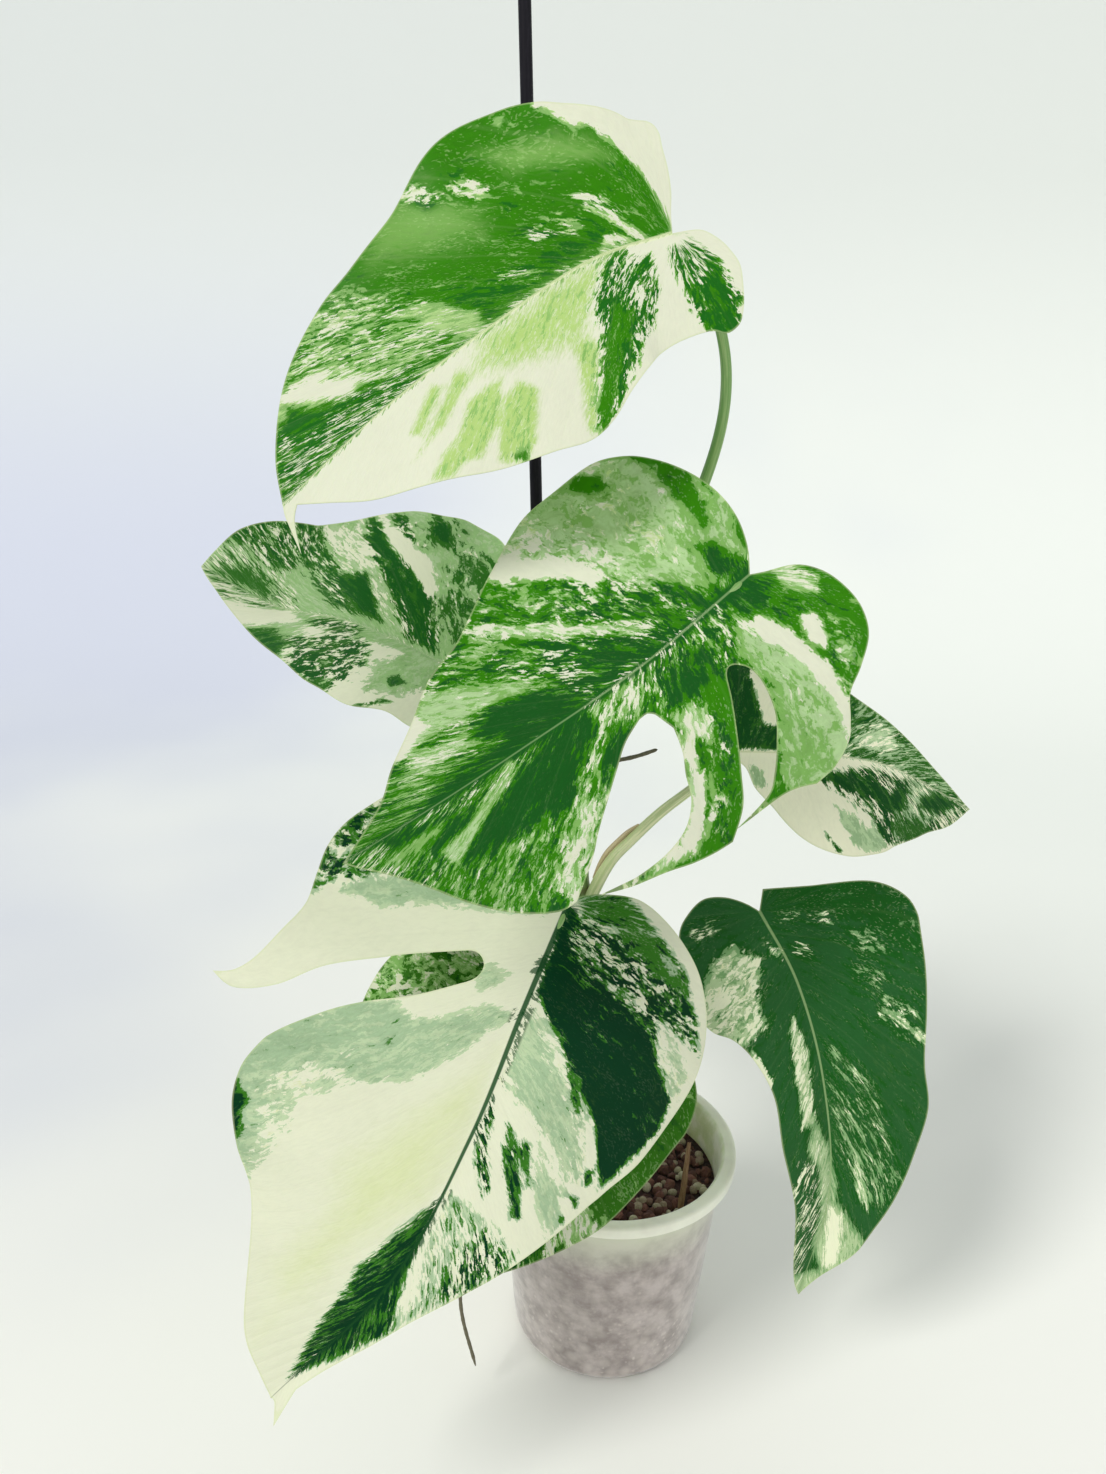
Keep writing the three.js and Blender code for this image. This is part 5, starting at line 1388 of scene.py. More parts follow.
@dataclass
class Leaf:
    """One leaf: its blade, the veins that stand out below it and its stalk."""

    EDGE_REACH: ClassVar[float] = 1.4

    letter: str
    plan: LeafPlan
    edge_step: float = 1.3
    fill_step: float = 1.7
    rib_step: float = 2.0
    rib_end: float = 1.5
    rib_rows: tuple[float, ...] = (-2.4, -1.5, -0.7, 0.7, 1.5, 2.4)
    rib_clear: float = 3.0
    fan_pitch: float = 35.0
    ridge: float = 0.3
    ridge_widths: tuple[float, float] = (1.9, 0.6)
    sunk: float = 0.1
    thickness: float = 0.55
    edge_thickness: float = 0.34
    edge_width: float = 4.0
    vein_first: float = 6.0
    vein_end_share: float = 0.9
    vein_start: float = 0.6
    vein_reach: float = 120.0
    vein_step: float = 2.5
    vein_clear: float = 3.0
    vein_fewest: int = 3
    vein_radius: float = 0.5
    vein_taper: float = 0.34
    keel_start: float = 3.0
    keel_step: float = 3.0
    keel_end: float = 4.0
    keel_radii: tuple[float, float] = (1.35, 0.35)
    sunk_least: float = 0.25
    sunk_share: float = 0.8
    stalk_step: float = 1.5
    stalk_tip: float = 1.9
    foot_swelling: float = 0.5
    foot_spread: float = 0.06
    foot_ring: float = 0.6
    foot_ring_spread: float = 0.03
    knee_swelling: float = 0.35
    knee_at: float = 0.9
    knee_spread: float = 0.035
    neck_start: float = 0.95
    neck_share: float = 0.55
    seat_at: tuple[float, float] = (5.0, 15.0)
    seat_depths: tuple[float, float] = (2.1, 1.3)
    surface: BladeSurface = field(init=False)
    outline: Array = field(init=False)
    tip: float = field(init=False)

    def __post_init__(self) -> None:
        """Lays out the sheet and the margin."""
        self.surface = BladeSurface(self.plan)
        right = self.margin(self.plan.right)
        left = self.margin(self.plan.left)
        self.tip = right[-1][1]
        self.outline = np.vstack([right, left[-2:0:-1]])

    def margin(self, stretches: Sequence[Path]) -> Array:
        """Fine points along smooth stretches that meet at corners."""
        rows: list[Array] = []
        for stretch in stretches:
            stops = np.array(stretch, float)
            if rows:
                stops = np.vstack([rows[-1][-1:], stops])
            stops = np.vstack([stops[:1], stops, stops[-1:]])
            fine = []
            for p0, p1, p2, p3 in zip(stops, stops[1:], stops[2:], stops[3:]):
                count = max(1, round(float(np.linalg.norm(p2 - p1)) / self.edge_step))
                t = np.linspace(0, 1, count, endpoint=False)[:, None]
                start, end = (p2 - p0) / 2, (p3 - p1) / 2
                fine.append(
                    (2 * p1 - 2 * p2 + start + end) * t**3
                    + (-3 * p1 + 3 * p2 - 2 * start - end) * t**2
                    + start * t
                    + p1
                )
            fine.append(stops[-1:])
            piece = np.vstack(fine)
            rows.append(piece[1:] if rows else piece)
        return np.vstack(rows)

    def fill(self) -> tuple[Array, list[list[int]], Array]:
        """Flat points, their triangles and each point's distance from the margin."""
        low, high = self.outline.min(axis=0), self.outline.max(axis=0)
        step = self.fill_step
        rows = np.arange(low[1], high[1], step * math.sqrt(0.75))
        columns = np.arange(low[0], high[0], step)
        grid = np.array([(x + (i % 2) * step / 2, y) for i, y in enumerate(rows) for x in columns])
        grid = grid[np.abs(grid[:, 0]) > self.rib_clear]
        rib = np.arange(self.rib_end, self.tip - self.rib_end, self.rib_step)
        middle, *beside = (np.stack([np.full(len(rib), x), rib], -1) for x in (0.0, *self.rib_rows))
        inner = np.vstack([grid, *beside])
        inner = inner[signed_distance(inner, self.outline) > self.edge_step * 0.6]
        points = np.vstack([self.outline, middle, inner])
        count = len(self.outline)
        edges = [(i, (i + 1) % count) for i in range(count)]
        edges += [(count + i, count + i + 1) for i in range(len(middle) - 1)]
        vectors = [Vector(point) for point in points]
        found, _, faces, *_ = delaunay_2d_cdt(vectors, edges, [], 0, 1e-4, False)
        flat = np.array([tuple(point) for point in found])
        faces = np.array([list(face) for face in faces])
        inside = signed_distance(flat[faces].mean(axis=1), self.outline) > 0
        return flat, faces[inside].tolist(), np.maximum(signed_distance(flat, self.outline), 0)

    def veins(self, flat: Array) -> Array:
        """Where each flat point's vein starts on the rib, how far out the point is, and its side."""
        distance = np.abs(flat[:, 0])
        result = np.zeros((len(flat), 3))
        for is_right, (base, rise) in zip((True, False), self.plan.veins):
            here = (flat[:, 0] > 0) == is_right
            d, b = distance[here], flat[here, 1]
            start = (b - base * d) / (1 + rise * d / self.surface.length)
            slope = base + rise * np.maximum(start, 0) / self.surface.length
            reach = d * np.sqrt(1 + slope**2)
            fan = start < 0
            turn = np.arctan2(d, b) - math.atan2(1, base)
            result[here, 0] = np.where(fan, -self.fan_pitch * turn, start)
            result[here, 1] = np.where(fan, np.hypot(d, b), reach)
            result[here, 2] = 1.0 if is_right else 0.0
        return result

    def marks(self, flat: Array) -> Array:
        """Cream, tone, fleck and tint (the share of painted highlight and glow) at each flat point."""
        values = np.tile(np.array(self.plan.ground.value, float), (len(flat), 1))
        for mark in self.plan.marks:
            inside = signed_distance(flat, np.array(mark.outline, float))
            share = smooth(0.5 + inside / (2 * (mark.soft + self.EDGE_REACH)))[:, None]
            values = values * (1 - share) + np.array(mark.ink.value) * share
        return values

    def build_blade(self) -> Piece:
        """The blade as a closed thin sheet with its veins and marks stored at its vertices."""
        flat, faces, rim = self.fill()
        place, normal = self.surface.points(flat), self.surface.normals(flat)
        width = np.interp(flat[:, 1], [0, self.tip], self.ridge_widths)
        ridge = self.ridge * bell(flat[:, 0], 0, width) * (flat[:, 1] > 0)
        deep = self.edge_thickness + (self.thickness - self.edge_thickness) * smooth(rim / self.edge_width)
        upper = place + normal * (ridge - self.sunk)[:, None]
        lower = place - normal * deep[:, None]
        count = len(flat)
        sides = dict.fromkeys((i, j) for face in faces for i, j in zip(face, face[1:] + face[:1]))
        walls = [[j, i, i + count, j + count] for i, j in sides if (j, i) not in sides]
        whole = faces + [[i + count for i in reversed(face)] for face in faces] + walls
        name, both = "leaf_" + self.letter + "_blade", np.vstack([upper, lower])
        piece = mesh_object(name, both, whole, self.plan.finish.material(), sharp=60)
        marks = self.marks(flat)
        layers = {
            "flat": np.column_stack([flat, rim]),
            "vein": self.veins(flat),
            "marks": marks[:, :3],
            # tint: the share of painted highlight on the green and of glow colour on the cream
            "tint": marks[:, 3],
        }
        for name, values in layers.items():
            write_attribute(piece.data, name, np.concatenate([values, values]))
        write_attribute(piece.data, "under", np.repeat([0.0, 1.0], count))
        return piece

    def vein_line(self, start: float, side: int) -> Array | None:
        """A side vein's flat points from the rib to near the margin."""
        base, rise = self.plan.veins[0 if side > 0 else 1]
        slope = base + rise * start / self.surface.length
        out = np.arange(self.vein_start, self.vein_reach, self.vein_step)
        line = np.stack([side * out, start + slope * out], -1)
        inside = signed_distance(line, self.outline) > self.vein_clear
        stop = int(np.argmin(inside)) if not inside.all() else len(line)
        return line[:stop] if stop > self.vein_fewest else None

    def build_ribs(self) -> Piece:
        """The rib and the side veins that stand out of the underside."""
        strands = []
        rib = np.arange(self.keel_start, self.tip - self.keel_end, self.keel_step)
        line = np.stack([np.zeros(len(rib)), rib], -1)
        for start in np.arange(self.vein_first, self.tip * self.vein_end_share, VEIN_PITCH):
            for side in (1, -1):
                found = self.vein_line(start, side)
                if found is not None:
                    radii = self.vein_radius - self.vein_taper * np.linspace(0, 1, len(found))
                    strands.append(self.strand_below(found, radii))
        strands.append(self.strand_below(line, np.linspace(*self.keel_radii, len(line))))
        finish = StalkFinish("rib_" + self.letter, base=self.plan.keel, streak=(0.5, 0.6, 0.3))
        return sweep("leaf_" + self.letter + "_ribs", strands, 8, finish.material())

    def strand_below(self, line: Array, radii: Array) -> Strand:
        """A strand pressed into the underside along flat points."""
        depth = self.sunk_least + radii * self.sunk_share
        return Strand(self.surface.points(line) - self.surface.normals(line) * depth[:, None], radii)

    def build_stalk(self) -> Piece:
        """The stalk, from inside the stem to the underside of the rib."""
        point, _, normal = self.surface.frame_at(np.array(self.seat_at))
        seat = point - normal * np.array(self.seat_depths)[:, None]
        fine = spaced(catmull([*self.plan.stalk, *seat.tolist()], True), self.stalk_step)
        share = shares(fine)
        radii = self.plan.stalk_radius + (self.stalk_tip - self.plan.stalk_radius) * share
        radii = radii + self.foot_swelling * bell(share, 0, self.foot_spread)
        radii = radii + self.knee_swelling * bell(share, self.knee_at, self.knee_spread)
        neck = np.interp(share, [self.neck_start, 1], [1, self.neck_share])
        strand = Strand(fine, radii * neck, self.foot_ring * bell(share, 0, self.foot_ring_spread))
        return sweep("petiole_" + self.letter + "_skin", [strand], 20, self.plan.stalk_finish.material())

    def build(self) -> None:
        """Builds and dresses the whole leaf."""
        commit(self.build_blade(), "leaf", "leaf_" + self.letter)
        commit(self.build_ribs(), "leaf")
        commit(self.build_stalk(), "petiole", "petiole_" + self.letter)


# What stands in the pot


@dataclass
class Pot:
    """The milky pot: a turned wall with a rolled lip, and notches under its foot."""

    height: float = 104.0
    rim_radius: float = 60.0
    top_radius: float = 54.0
    foot_radius: float = 45.0
    wall: float = 1.2
    floor: float = 1.4
    lip_drop: float = 5.5
    foot_round: float = 6.0
    sides: int = 144
    notch_count: int = 6
    notch_turn: float = 47.0
    notch_half_width: float = 4.5
    notch_height: float = 3.0
    notch_soft: float = 0.8
    notch_depth: float = 7.0
    lip_round: float = 2.0

    def wall_radius(self, height: float) -> float:
        """The outer wall's radius at a height."""
        share = height / (self.height - self.lip_drop)
        return self.foot_radius + (self.top_radius - self.foot_radius) * share

    @staticmethod
    def arc(
        radius: float, height: float, size: float, start: float, end: float, count: int
    ) -> list[Point]:
        """Profile points on a round corner, between two angles in degrees."""
        angles = [math.radians(start + (end - start) * i / count) for i in range(count + 1)]
        return [(radius + size * math.cos(a), height + size * math.sin(a)) for a in angles]

    def profile(self) -> tuple[list[Point], int]:
        """The profile from under the foot, over the lip and back to the middle, and where it turns in."""
        height, rim, top, lip = self.height, self.rim_radius, self.top_radius, self.lip_round
        neck = height - self.lip_drop
        foot = self.wall_radius(self.foot_round) - self.foot_round
        outer = [(0, 0), (foot * 0.5, 0), *self.arc(foot, self.foot_round, self.foot_round, -90, 0, 10)]
        outer += [(self.wall_radius(neck * s), neck * s) for s in np.linspace(0.1, 1, 12)]
        outer += [(top + 0.2, height - 2.4), (rim - 2, height - 1.8)]
        outer += [(rim - self.wall, height - 2.8), (rim - self.wall, neck), (rim, neck)]
        outer += self.arc(rim - lip, height - lip, lip, 0, 90, 8)
        outer += [(top + 0.9, height - 0.2), (top + 0.1, height - 0.7)]
        inner = [(top - self.wall, height - 2.6)]
        inner += [(self.wall_radius(neck * s) - self.wall, neck * s) for s in np.linspace(0.95, 0.1, 12)]
        inner += self.arc(foot, self.foot_round, self.foot_round - self.floor, 0, -90, 8)
        inner += [(0, self.floor)]
        return outer + inner, len(outer)

    def notch(self, turn: float) -> float:
        """How far a place round the foot lies inside a notch, from 0 to 1."""
        pitch = 360 / self.notch_count
        off = abs((turn - self.notch_turn + pitch / 2) % pitch - pitch / 2)
        half = math.degrees(self.notch_half_width / self.foot_radius)
        return float(smooth(np.array((half + self.notch_soft - off) / (2 * self.notch_soft))))

    def build(self) -> None:
        """Builds and dresses the pot."""
        profile, turn_in = self.profile()
        points, inner, faces = [], [], []
        for step in range(self.sides):
            degrees = 360 * step / self.sides
            lifted = self.notch(degrees) * self.notch_height
            turn = math.radians(degrees)
            for i, (radius, height) in enumerate(profile):
                if i < turn_in and radius > self.foot_radius - self.notch_depth:
                    height = max(height, lifted)
                points.append((radius * math.cos(turn), radius * math.sin(turn), height))
                inner.append(float(i >= turn_in - 1))
        count = len(profile)
        for step in range(self.sides):
            a, b = step * count, (step + 1) % self.sides * count
            faces += [(a + i, b + i, b + i + 1, a + i + 1) for i in range(count - 1)]
        piece = mesh_object("pot_shell", np.array(points), faces, PotFinish("pot").material(), sharp=50)
        write_attribute(piece.data, "inner", np.array(inner))
        commit(piece, "pot", "pot")


class ScatterTree:
    """A geometry node tree that strews lumpy chunks over a face."""

    @staticmethod
    def tree(name: str) -> Tree:
        """Builds the tree under that name."""
        sizes = dict.fromkeys(("Density", "Small", "Large", "Flatness", "Lumps"), "Float")
        board, given = start_tree(name, {**sizes, "Seed": "Int", "Skin": "Material"})

        def draw(seed: int, low: Any = 0.0, high: Any = 1.0) -> Wire:
            """A random number for each chunk."""
            inputs = {"Min_001": low, "Max_001": high, "Seed": seed}
            node = board.node("FunctionNodeRandomValue", {"data_type": "FLOAT"}, inputs)
            return Wire(board, node.outputs[1])

        inputs = {"Mesh": given["Geometry"], "Density": given["Density"], "Seed": given["Seed"]}
        spots = board.node("GeometryNodeDistributePointsOnFaces", None, inputs)
        inputs = {"Max": (6.28, 6.28, 6.28)}
        turn = board.node("FunctionNodeRandomValue", {"data_type": "FLOAT_VECTOR"}, inputs)
        length = draw(3, given["Small"], given["Large"])
        ball = board.node("GeometryNodeMeshIcoSphere", None, {"Radius": 1.0, "Subdivisions": 2})
        inputs = {
            "Points": spots.outputs["Points"],
            "Instance": ball.outputs["Mesh"],
            "Rotation": turn.outputs[0],
            "Scale": board.join(length, length * 0.8, length * draw(7, given["Flatness"])),
        }
        strewn = board.node("GeometryNodeInstanceOnPoints", None, inputs)
        stored = board.node(
            "GeometryNodeStoreNamedAttribute",
            {"data_type": "FLOAT", "domain": "INSTANCE"},
            {"Geometry": strewn.outputs["Instances"], "Name": "shade", "Value": draw(11)},
        )
        whole = board.node("GeometryNodeRealizeInstances", None, {"Geometry": stored.outputs["Geometry"]})
        here = board.node("GeometryNodeInputPosition").outputs[0]
        lump = board.node("ShaderNodeTexNoise", None, {"Vector": here, "Scale": 420.0, "Detail": 1.0})
        inputs = {"Vector": lump.outputs["Color"], "Vector_001": (0.5, 0.5, 0.5)}
        push = board.node("ShaderNodeVectorMath", {"operation": "SUBTRACT"}, inputs)
        inputs = {"Vector": push.outputs[0], "Scale": given["Lumps"]}
        sized = board.node("ShaderNodeVectorMath", {"operation": "SCALE"}, inputs)
        inputs = {"Geometry": whole.outputs["Geometry"], "Offset": sized.outputs[0]}
        moved = board.node("GeometryNodeSetPosition", None, inputs)
        return end_tree(board, moved.outputs["Geometry"], given["Skin"])


@dataclass(frozen=True)
class Strewing:
    """One kind of chunk on the soil: how many to a square metre, and how large, flat and lumpy."""

    name: str
    finish: ChunkFinish
    density: float
    small: float
    large: float
    flatness: float
    lumps: float
    lift: float
    seed: int


CHUNKS = Strewing(
    "soil_chunks",
    ChunkFinish("soil_chunk"),
    density=62000.0,
    small=1.6,
    large=3.6,
    flatness=0.45,
    lumps=0.0022,
    lift=0.2,
    seed=SEED + 27,
)
GRAINS = Strewing(
    "soil_grains",
    ChunkFinish("soil_grain", first=(0.2, 0.11, 0.08), second=(0.56, 0.5, 0.36), fleck=(0.66, 0.62, 0.5)),
    density=25000.0,
    small=1.3,
    large=3.0,
    flatness=0.7,
    lumps=0.0009,
    lift=1.0,
    seed=SEED + 24,
)


@dataclass
class Soil:
    """The mix in the pot: a bumpy body, dark chunks and pale grains on it."""

    pot: Pot
    level: float = 84.0
    rings: int = 34
    sides: int = 96
    relief: float = 0.78
    side_gap: float = 0.5
    side_flat: float = 4.0
    floor: float = 2.0
    foot_height: float = 6.0
    foot_gap: float = 3.0
    strewn_inset: float = 3.4
    disc_sides: int = 48

    def bump(self, x: float, y: float) -> float:
        """How far the top rises at a place, before it is scaled to its relief."""
        wave = math.sin(x * 0.61 + 1.3) * math.cos(y * 0.53) + 0.6 * math.sin((x + y) * 0.9)
        return wave + 0.35 * math.sin(x * 1.7 + y * 0.4) * math.cos(y * 1.9 - x * 0.6)

    def body(self) -> Piece:
        """The closed body with its bumpy top."""
        side = self.pot.wall_radius(self.level) - self.pot.wall - self.side_gap
        foot = self.pot.wall_radius(self.foot_height) - self.pot.wall - self.foot_gap
        radii = list(np.linspace(0, side, self.rings)) + [side - 0.4, (side + foot) / 2, foot, 0.0]
        levels = [self.level] * self.rings + [self.level - 3, self.level / 2, self.floor, self.floor]
        points, faces = [], []
        for radius, height in zip(radii, levels):
            is_top = height == self.level
            relief = self.relief * min(1.0, (side - radius) / self.side_flat) if is_top else 0.0
            for step in range(self.sides):
                turn = 2 * math.pi * step / self.sides
                x, y = radius * math.cos(turn), radius * math.sin(turn)
                points.append((x, y, height + self.bump(x, y) * relief))
        for ring in range(len(radii) - 1):
            for step in range(self.sides):
                a, b = ring * self.sides + step, ring * self.sides + (step + 1) % self.sides
                faces.append((a, a + self.sides, b + self.sides, b))
        return mesh_object("soil_body", np.array(points), faces, SoilFinish("soil").material())

    def top(self, name: str, lift: float) -> Piece:
        """A plain disc just in the top of the soil, to strew things on."""
        radius = self.pot.wall_radius(self.level) - self.pot.wall - self.strewn_inset
        turns = np.linspace(0, 2 * math.pi, self.disc_sides + 1)[:-1]
        rim = [(radius * math.cos(t), radius * math.sin(t), self.level + lift) for t in turns]
        return mesh_object(name, np.array(rim), [list(range(self.disc_sides))])

    def build(self) -> None:
        """Builds and dresses the soil, its chunks and its grains."""
        commit(self.body(), "soil", "soil")
        tree = ScatterTree.tree("strewn_chunks")
        for kind in (CHUNKS, GRAINS):
            piece = self.top(kind.name, kind.lift)
            values = {
                "Density": kind.density,
                "Small": kind.small * MM,
                "Large": kind.large * MM,
                "Flatness": kind.flatness,
                "Lumps": kind.lumps,
                "Seed": kind.seed,
                "Skin": kind.finish.material(),
            }
            apply_tree(piece, tree, values)
            piece.data.set_sharp_from_angle(angle=math.radians(35))
            commit(piece, "soil")


@dataclass
class Stem:
    """The climbing stem with its rings, and the two roots that grow from it."""

    path: Path = ((-4, 6, 44), (-8, 8, 100), (-13, 10, 160), (-19, 13, 220), (-21, 16, 280), (-21, 17, 302))
    radius: float = 6.4
    tip_radius: float = 4.6
    step: float = 1.2
    skin_share: float = 0.97
    round_start: float = 0.985
    round_span: float = 0.015
    round_depth: float = 1.2
    ring_heights: Point = (92, 111, 130, 150, 169, 188, 208, 231, 256, 280)
    ring_swelling: float = 0.45
    ring_length: float = 3.2
    ring_mark: float = 1.3
    side_root_radius: float = 1.1
    low_root_radius: float = 1.0
    side_root: Path = ((-20, 16, 288), (-7, 18, 291), (4, 20, 293), (14, 22, 296))
    low_root: Path = (
        (-11, 9, 122), (-34, -18, 130), (-56, -38, 114), (-67, -45, 82), (-69, -48, 48), (-62, -50, 14),
    )

    def build(self) -> None:
        """Builds and dresses the stem and the roots."""
        fine = spaced(catmull(self.path, True), self.step)
        share = shares(fine)
        radii = self.radius + (self.tip_radius - self.radius) * share
        rings = np.zeros(len(fine))
        for height in self.ring_heights:
            radii = radii + self.ring_swelling * bell(fine[:, 2], height, self.ring_length)
            rings = np.maximum(rings, bell(fine[:, 2], height, self.ring_mark))
        radii = radii - self.round_depth * smooth((share - self.round_start) / self.round_span)
        finish = StalkFinish(
            "stem", base=(0.14, 0.24, 0.06), streak=(0.3, 0.34, 0.14), ring=(0.12, 0.07, 0.035)
        )
        strand = Strand(fine, radii * self.skin_share, rings)
        commit(sweep("stem", [strand], 32, finish.material()), "stem", "main_stem")
        self.build_root("aerial_root_side", self.side_root, self.side_root_radius)
        self.build_root("aerial_root_low", self.low_root, self.low_root_radius)

    def build_root(self, name: str, path: Path, radius: float) -> None:
        """Builds and dresses one thin root that stands for a CAD node of that name."""
        line = spaced(catmull(path, True), 0.8)
        at, part = lengths(line), shares(line)
        wander = np.sin(at * 0.9) * 0.06 + np.sin(at * 2.3) * 0.04
        size = radius * (1 - 0.2 * part) * (1 + wander)
        size = size * np.where(part > 0.97, np.sqrt(np.clip((1.002 - part) / 0.032, 0.05, 1)), 1)
        commit(sweep(name + "_skin", [Strand(line, size)], 14, RootFinish(name).material()), "root", name)


@dataclass
class Sheath:
    """The dried sheath that stands in the soil, a curled papery sheet."""

    path: Path = ((31, -27, 70), (32, -25, 84), (34, -19, 99), (36, -12, 112))
    sides: int = 22
    thickness: float = 0.3
    end_radius: float = 0.8
    bulge: float = 2.6
    open_turn: float = 300.0
    opening: float = 0.25
    wave: float = 0.07
    length: float = 44.0

    def build(self) -> None:
        """Builds and dresses the sheath."""
        line = spaced(catmull(self.path, True), 1.0)
        share = shares(line)
        tangent = unit(np.gradient(line, axis=0))
        across = unit(np.cross(tangent, [0, 1, 0]))
        ahead = np.cross(across, tangent)
        points, flat = [], []
        for layer in (0, 1):
            for i, s in enumerate(share):
                radius = self.end_radius + self.bulge * s * (1 - s) - layer * self.thickness
                curl = 1 - self.opening + self.opening * math.cos(s * 5)
                for j in range(self.sides + 1):
                    turn = math.radians((j / self.sides - 0.5) * self.open_turn) * curl
                    wave = 1 + self.wave * math.sin(s * 23 + j * 0.8)
                    offset = across[i] * math.sin(turn) - ahead[i] * math.cos(turn)
                    points.append(line[i] + offset * radius * wave)
                    flat.append((turn * radius, s * self.length, 0))
        rows, columns = len(share), self.sides + 1
        half = rows * columns
        faces = []
        for i in range(rows - 1):
            for j in range(self.sides):
                a = i * columns + j
                faces.append((a, a + columns, a + columns + 1, a + 1))
                faces.append((a + half, a + 1 + half, a + columns + 1 + half, a + columns + half))
            for j in (0, self.sides):
                a, b = i * columns + j, (i + 1) * columns + j
                faces.append((a, a + half, b + half, b) if j == 0 else (a, b, b + half, a + half))
        for i in (0, rows - 1):
            for j in range(self.sides):
                a, b = i * columns + j, i * columns + j + 1
                faces.append((a, b, b + half, a + half) if i == 0 else (a, a + half, b + half, b))
        finish = SheathFinish("sheath").material()
        piece = mesh_object("dry_sheath_sheet", np.array(points), faces, finish)
        write_attribute(piece.data, "flat", np.array(flat))
        commit(piece, "sheath", "dry_sheath")


@dataclass
class Stake:
    """The thin black stake with a plain rounded top."""

    radius: float = 2.6
    length: float = 600.0
    foot: Point = (-25.5, 18, 5)
    top: Point = (-51.5, 50, 604)
    point_length: float = 12.0
    point_share: float = 0.45
    round_length: float = 2.0
    round_share: float = 0.85

    def build(self) -> None:
        """Builds and dresses the stake."""
        foot, top = np.array(self.foot, float), np.array(self.top, float)
        way = (top - foot) / np.linalg.norm(top - foot)
        last = self.length - np.array([self.round_length, 1.2, 0.6, 0.2, 0])
        at = np.concatenate([[0, 4, 8, self.point_length], np.arange(20, self.length - 4, 8), last])
        radii = np.interp(at, [0, self.point_length], [self.radius * self.point_share, self.radius])
        rounding = np.clip((at - self.length + self.round_length) / self.round_length, 0, 1)
        rounded = self.radius * np.sqrt(np.clip(1 - (rounding * self.round_share) ** 2, 0, 1))
        strand = Strand(foot + at[:, None] * way, np.where(rounding > 0, rounded, radii))
        commit(sweep("stake_rod", [strand], 28, StakeFinish("stake").material()), "stake", "stake")


@dataclass
class StalkEdge:
    """The dried edge along the lower part of the cream stalk."""

    path: Path = (
        (-13, 11, 237), (-10, 12, 244), (-7, 13, 249), (-2, 15, 254), (2, 16, 258), (7, 17, 261.5),
    )
    radius: float = 1.5

    def build(self) -> None:
        """Builds and dresses the edge."""
        line = spaced(catmull(self.path, True), 0.8)
        share = shares(line)
        radii = self.radius * (0.35 + 2.4 * share * (1 - share)) * 0.95
        finish = StalkFinish("stalk_edge", base=(0.42, 0.32, 0.17), streak=(0.6, 0.5, 0.3), amount=0.8)
        commit(sweep("petiole_g_edge", [Strand(line, radii)], 12, finish.material()), "petiole")


# The studio


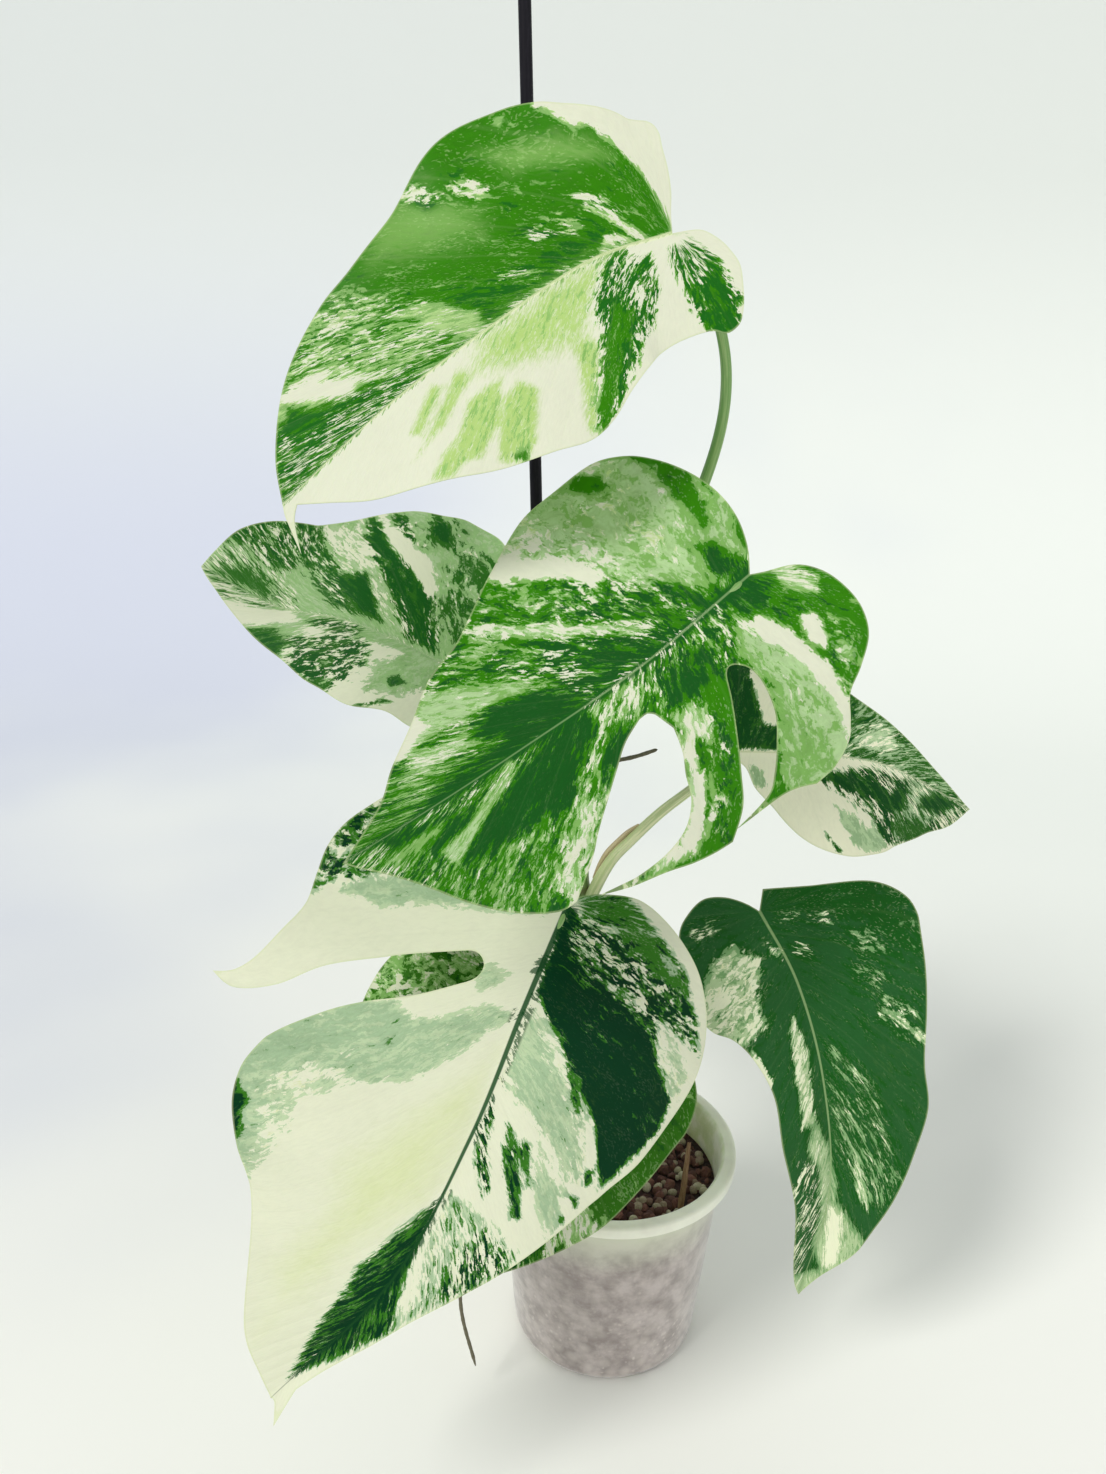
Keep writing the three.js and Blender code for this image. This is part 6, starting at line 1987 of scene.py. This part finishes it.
@dataclass
class Studio:
    """Backdrop, lights and the camera at the photograph's angle."""

    camera_place: Point = (-33, -448, 457)
    pitch: float = 18.4
    roll: float = 1.4
    focal: float = 1107.0
    picture_height: float = 1474.0
    sensor: float = 36.0
    aim: Point = (0.0, 0.0, 0.25)
    floor_depth: float = 0.9
    bend: float = 0.8
    bend_steps: int = 16
    wall_height: float = 3.2
    half_width: float = 3.2
    columns: int = 9

    def backdrop(self) -> None:
        """A seamless sheet: floor in front, wall behind, one soft bend between them."""
        bend, start = self.bend, self.floor_depth
        profile = [(-2.4, 0.0), (-1.0, 0.0), (0.0, 0.0), (start * 0.6, 0.0)]
        for i in range(self.bend_steps + 1):
            turn = math.radians(-90 + 90 * i / self.bend_steps)
            profile.append((start + bend * math.cos(turn), bend + bend * math.sin(turn)))
        profile.append((start + bend, self.wall_height))
        count = self.columns
        columns = np.linspace(-self.half_width, self.half_width, count)
        points = [(x, y, z) for y, z in profile for x in columns]
        faces = [
            (i * count + j, i * count + j + 1, (i + 1) * count + j + 1, (i + 1) * count + j)
            for i in range(len(profile) - 1)
            for j in range(count - 1)
        ]
        finish = BackdropFinish("backdrop").material()
        piece = mesh_object("backdrop", np.array(points) / MM, faces, finish, sharp=80)

    def lamp(self, name: str, place: Point, spread: float, power: float, tint: Colour) -> None:
        """A distant light from a place towards the plant, softened over a spread in degrees."""
        data = bpy.data.lights.new(name, "SUN")
        data.angle = math.radians(spread)
        data.energy = power
        data.color = tint
        lamp = bpy.data.objects.new(name, data)
        lamp.location = place
        lamp.rotation_euler = (Vector(self.aim) - Vector(place)).to_track_quat("-Z", "Y").to_euler()
        bpy.context.scene.collection.objects.link(lamp)

    def lights(self) -> None:
        """A soft key from the left and above, a weak fill from the right, and a pale sky."""
        self.lamp("key", (-0.9, -0.8, 1.5), 18.0, 1.74, (1.0, 0.985, 0.95))
        self.lamp("fill", (1.2, -1.4, 0.9), 60.0, 0.54, (1.0, 1.0, 1.0))
        world = bpy.data.worlds.new("sky")
        world.use_nodes = True
        sky = world.node_tree.nodes["Background"]
        sky.inputs["Color"].default_value = (0.95, 0.98, 1.0, 1.0)
        sky.inputs["Strength"].default_value = 0.49
        bpy.context.scene.world = world
        bpy.context.scene.view_settings.view_transform = "Standard"

    def camera(self) -> None:
        """The camera that sees what the photograph shows."""
        data = bpy.data.cameras.new("camera")
        data.sensor_fit = "AUTO"
        data.sensor_width = self.sensor
        data.lens = self.focal / self.picture_height * self.sensor
        camera = bpy.data.objects.new("camera", data)
        pitch, roll = math.radians(self.pitch), math.radians(self.roll)
        right = Vector((1, 0, 0))
        up = Vector((0, math.sin(pitch), math.cos(pitch)))
        ahead = Vector((0, math.cos(pitch), -math.sin(pitch)))
        turned_right = right * math.cos(roll) + up * math.sin(roll)
        turned_up = up * math.cos(roll) - right * math.sin(roll)
        place = Matrix.Translation(Vector(self.camera_place) * MM)
        turn = Matrix((turned_right, turned_up, -ahead)).transposed().to_4x4()
        camera.matrix_world = place @ turn
        bpy.context.scene.collection.objects.link(camera)
        bpy.context.scene.camera = camera

    def build(self) -> None:
        """Sets up the whole studio."""
        self.backdrop()
        self.lights()
        self.camera()
        LOG.info("studio ready")


def main() -> None:
    """Builds every piece in order."""
    logging.basicConfig(level=logging.INFO, format="%(name)s: %(message)s")
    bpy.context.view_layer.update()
    pot = Pot()
    pot.build()
    Soil(pot).build()
    Stake().build()
    Stem().build()
    Sheath().build()
    for letter, plan in PLANS.items():
        Leaf(letter, plan).build()
    StalkEdge().build()
    Studio().build()


if __name__ == "__main__":
    main()
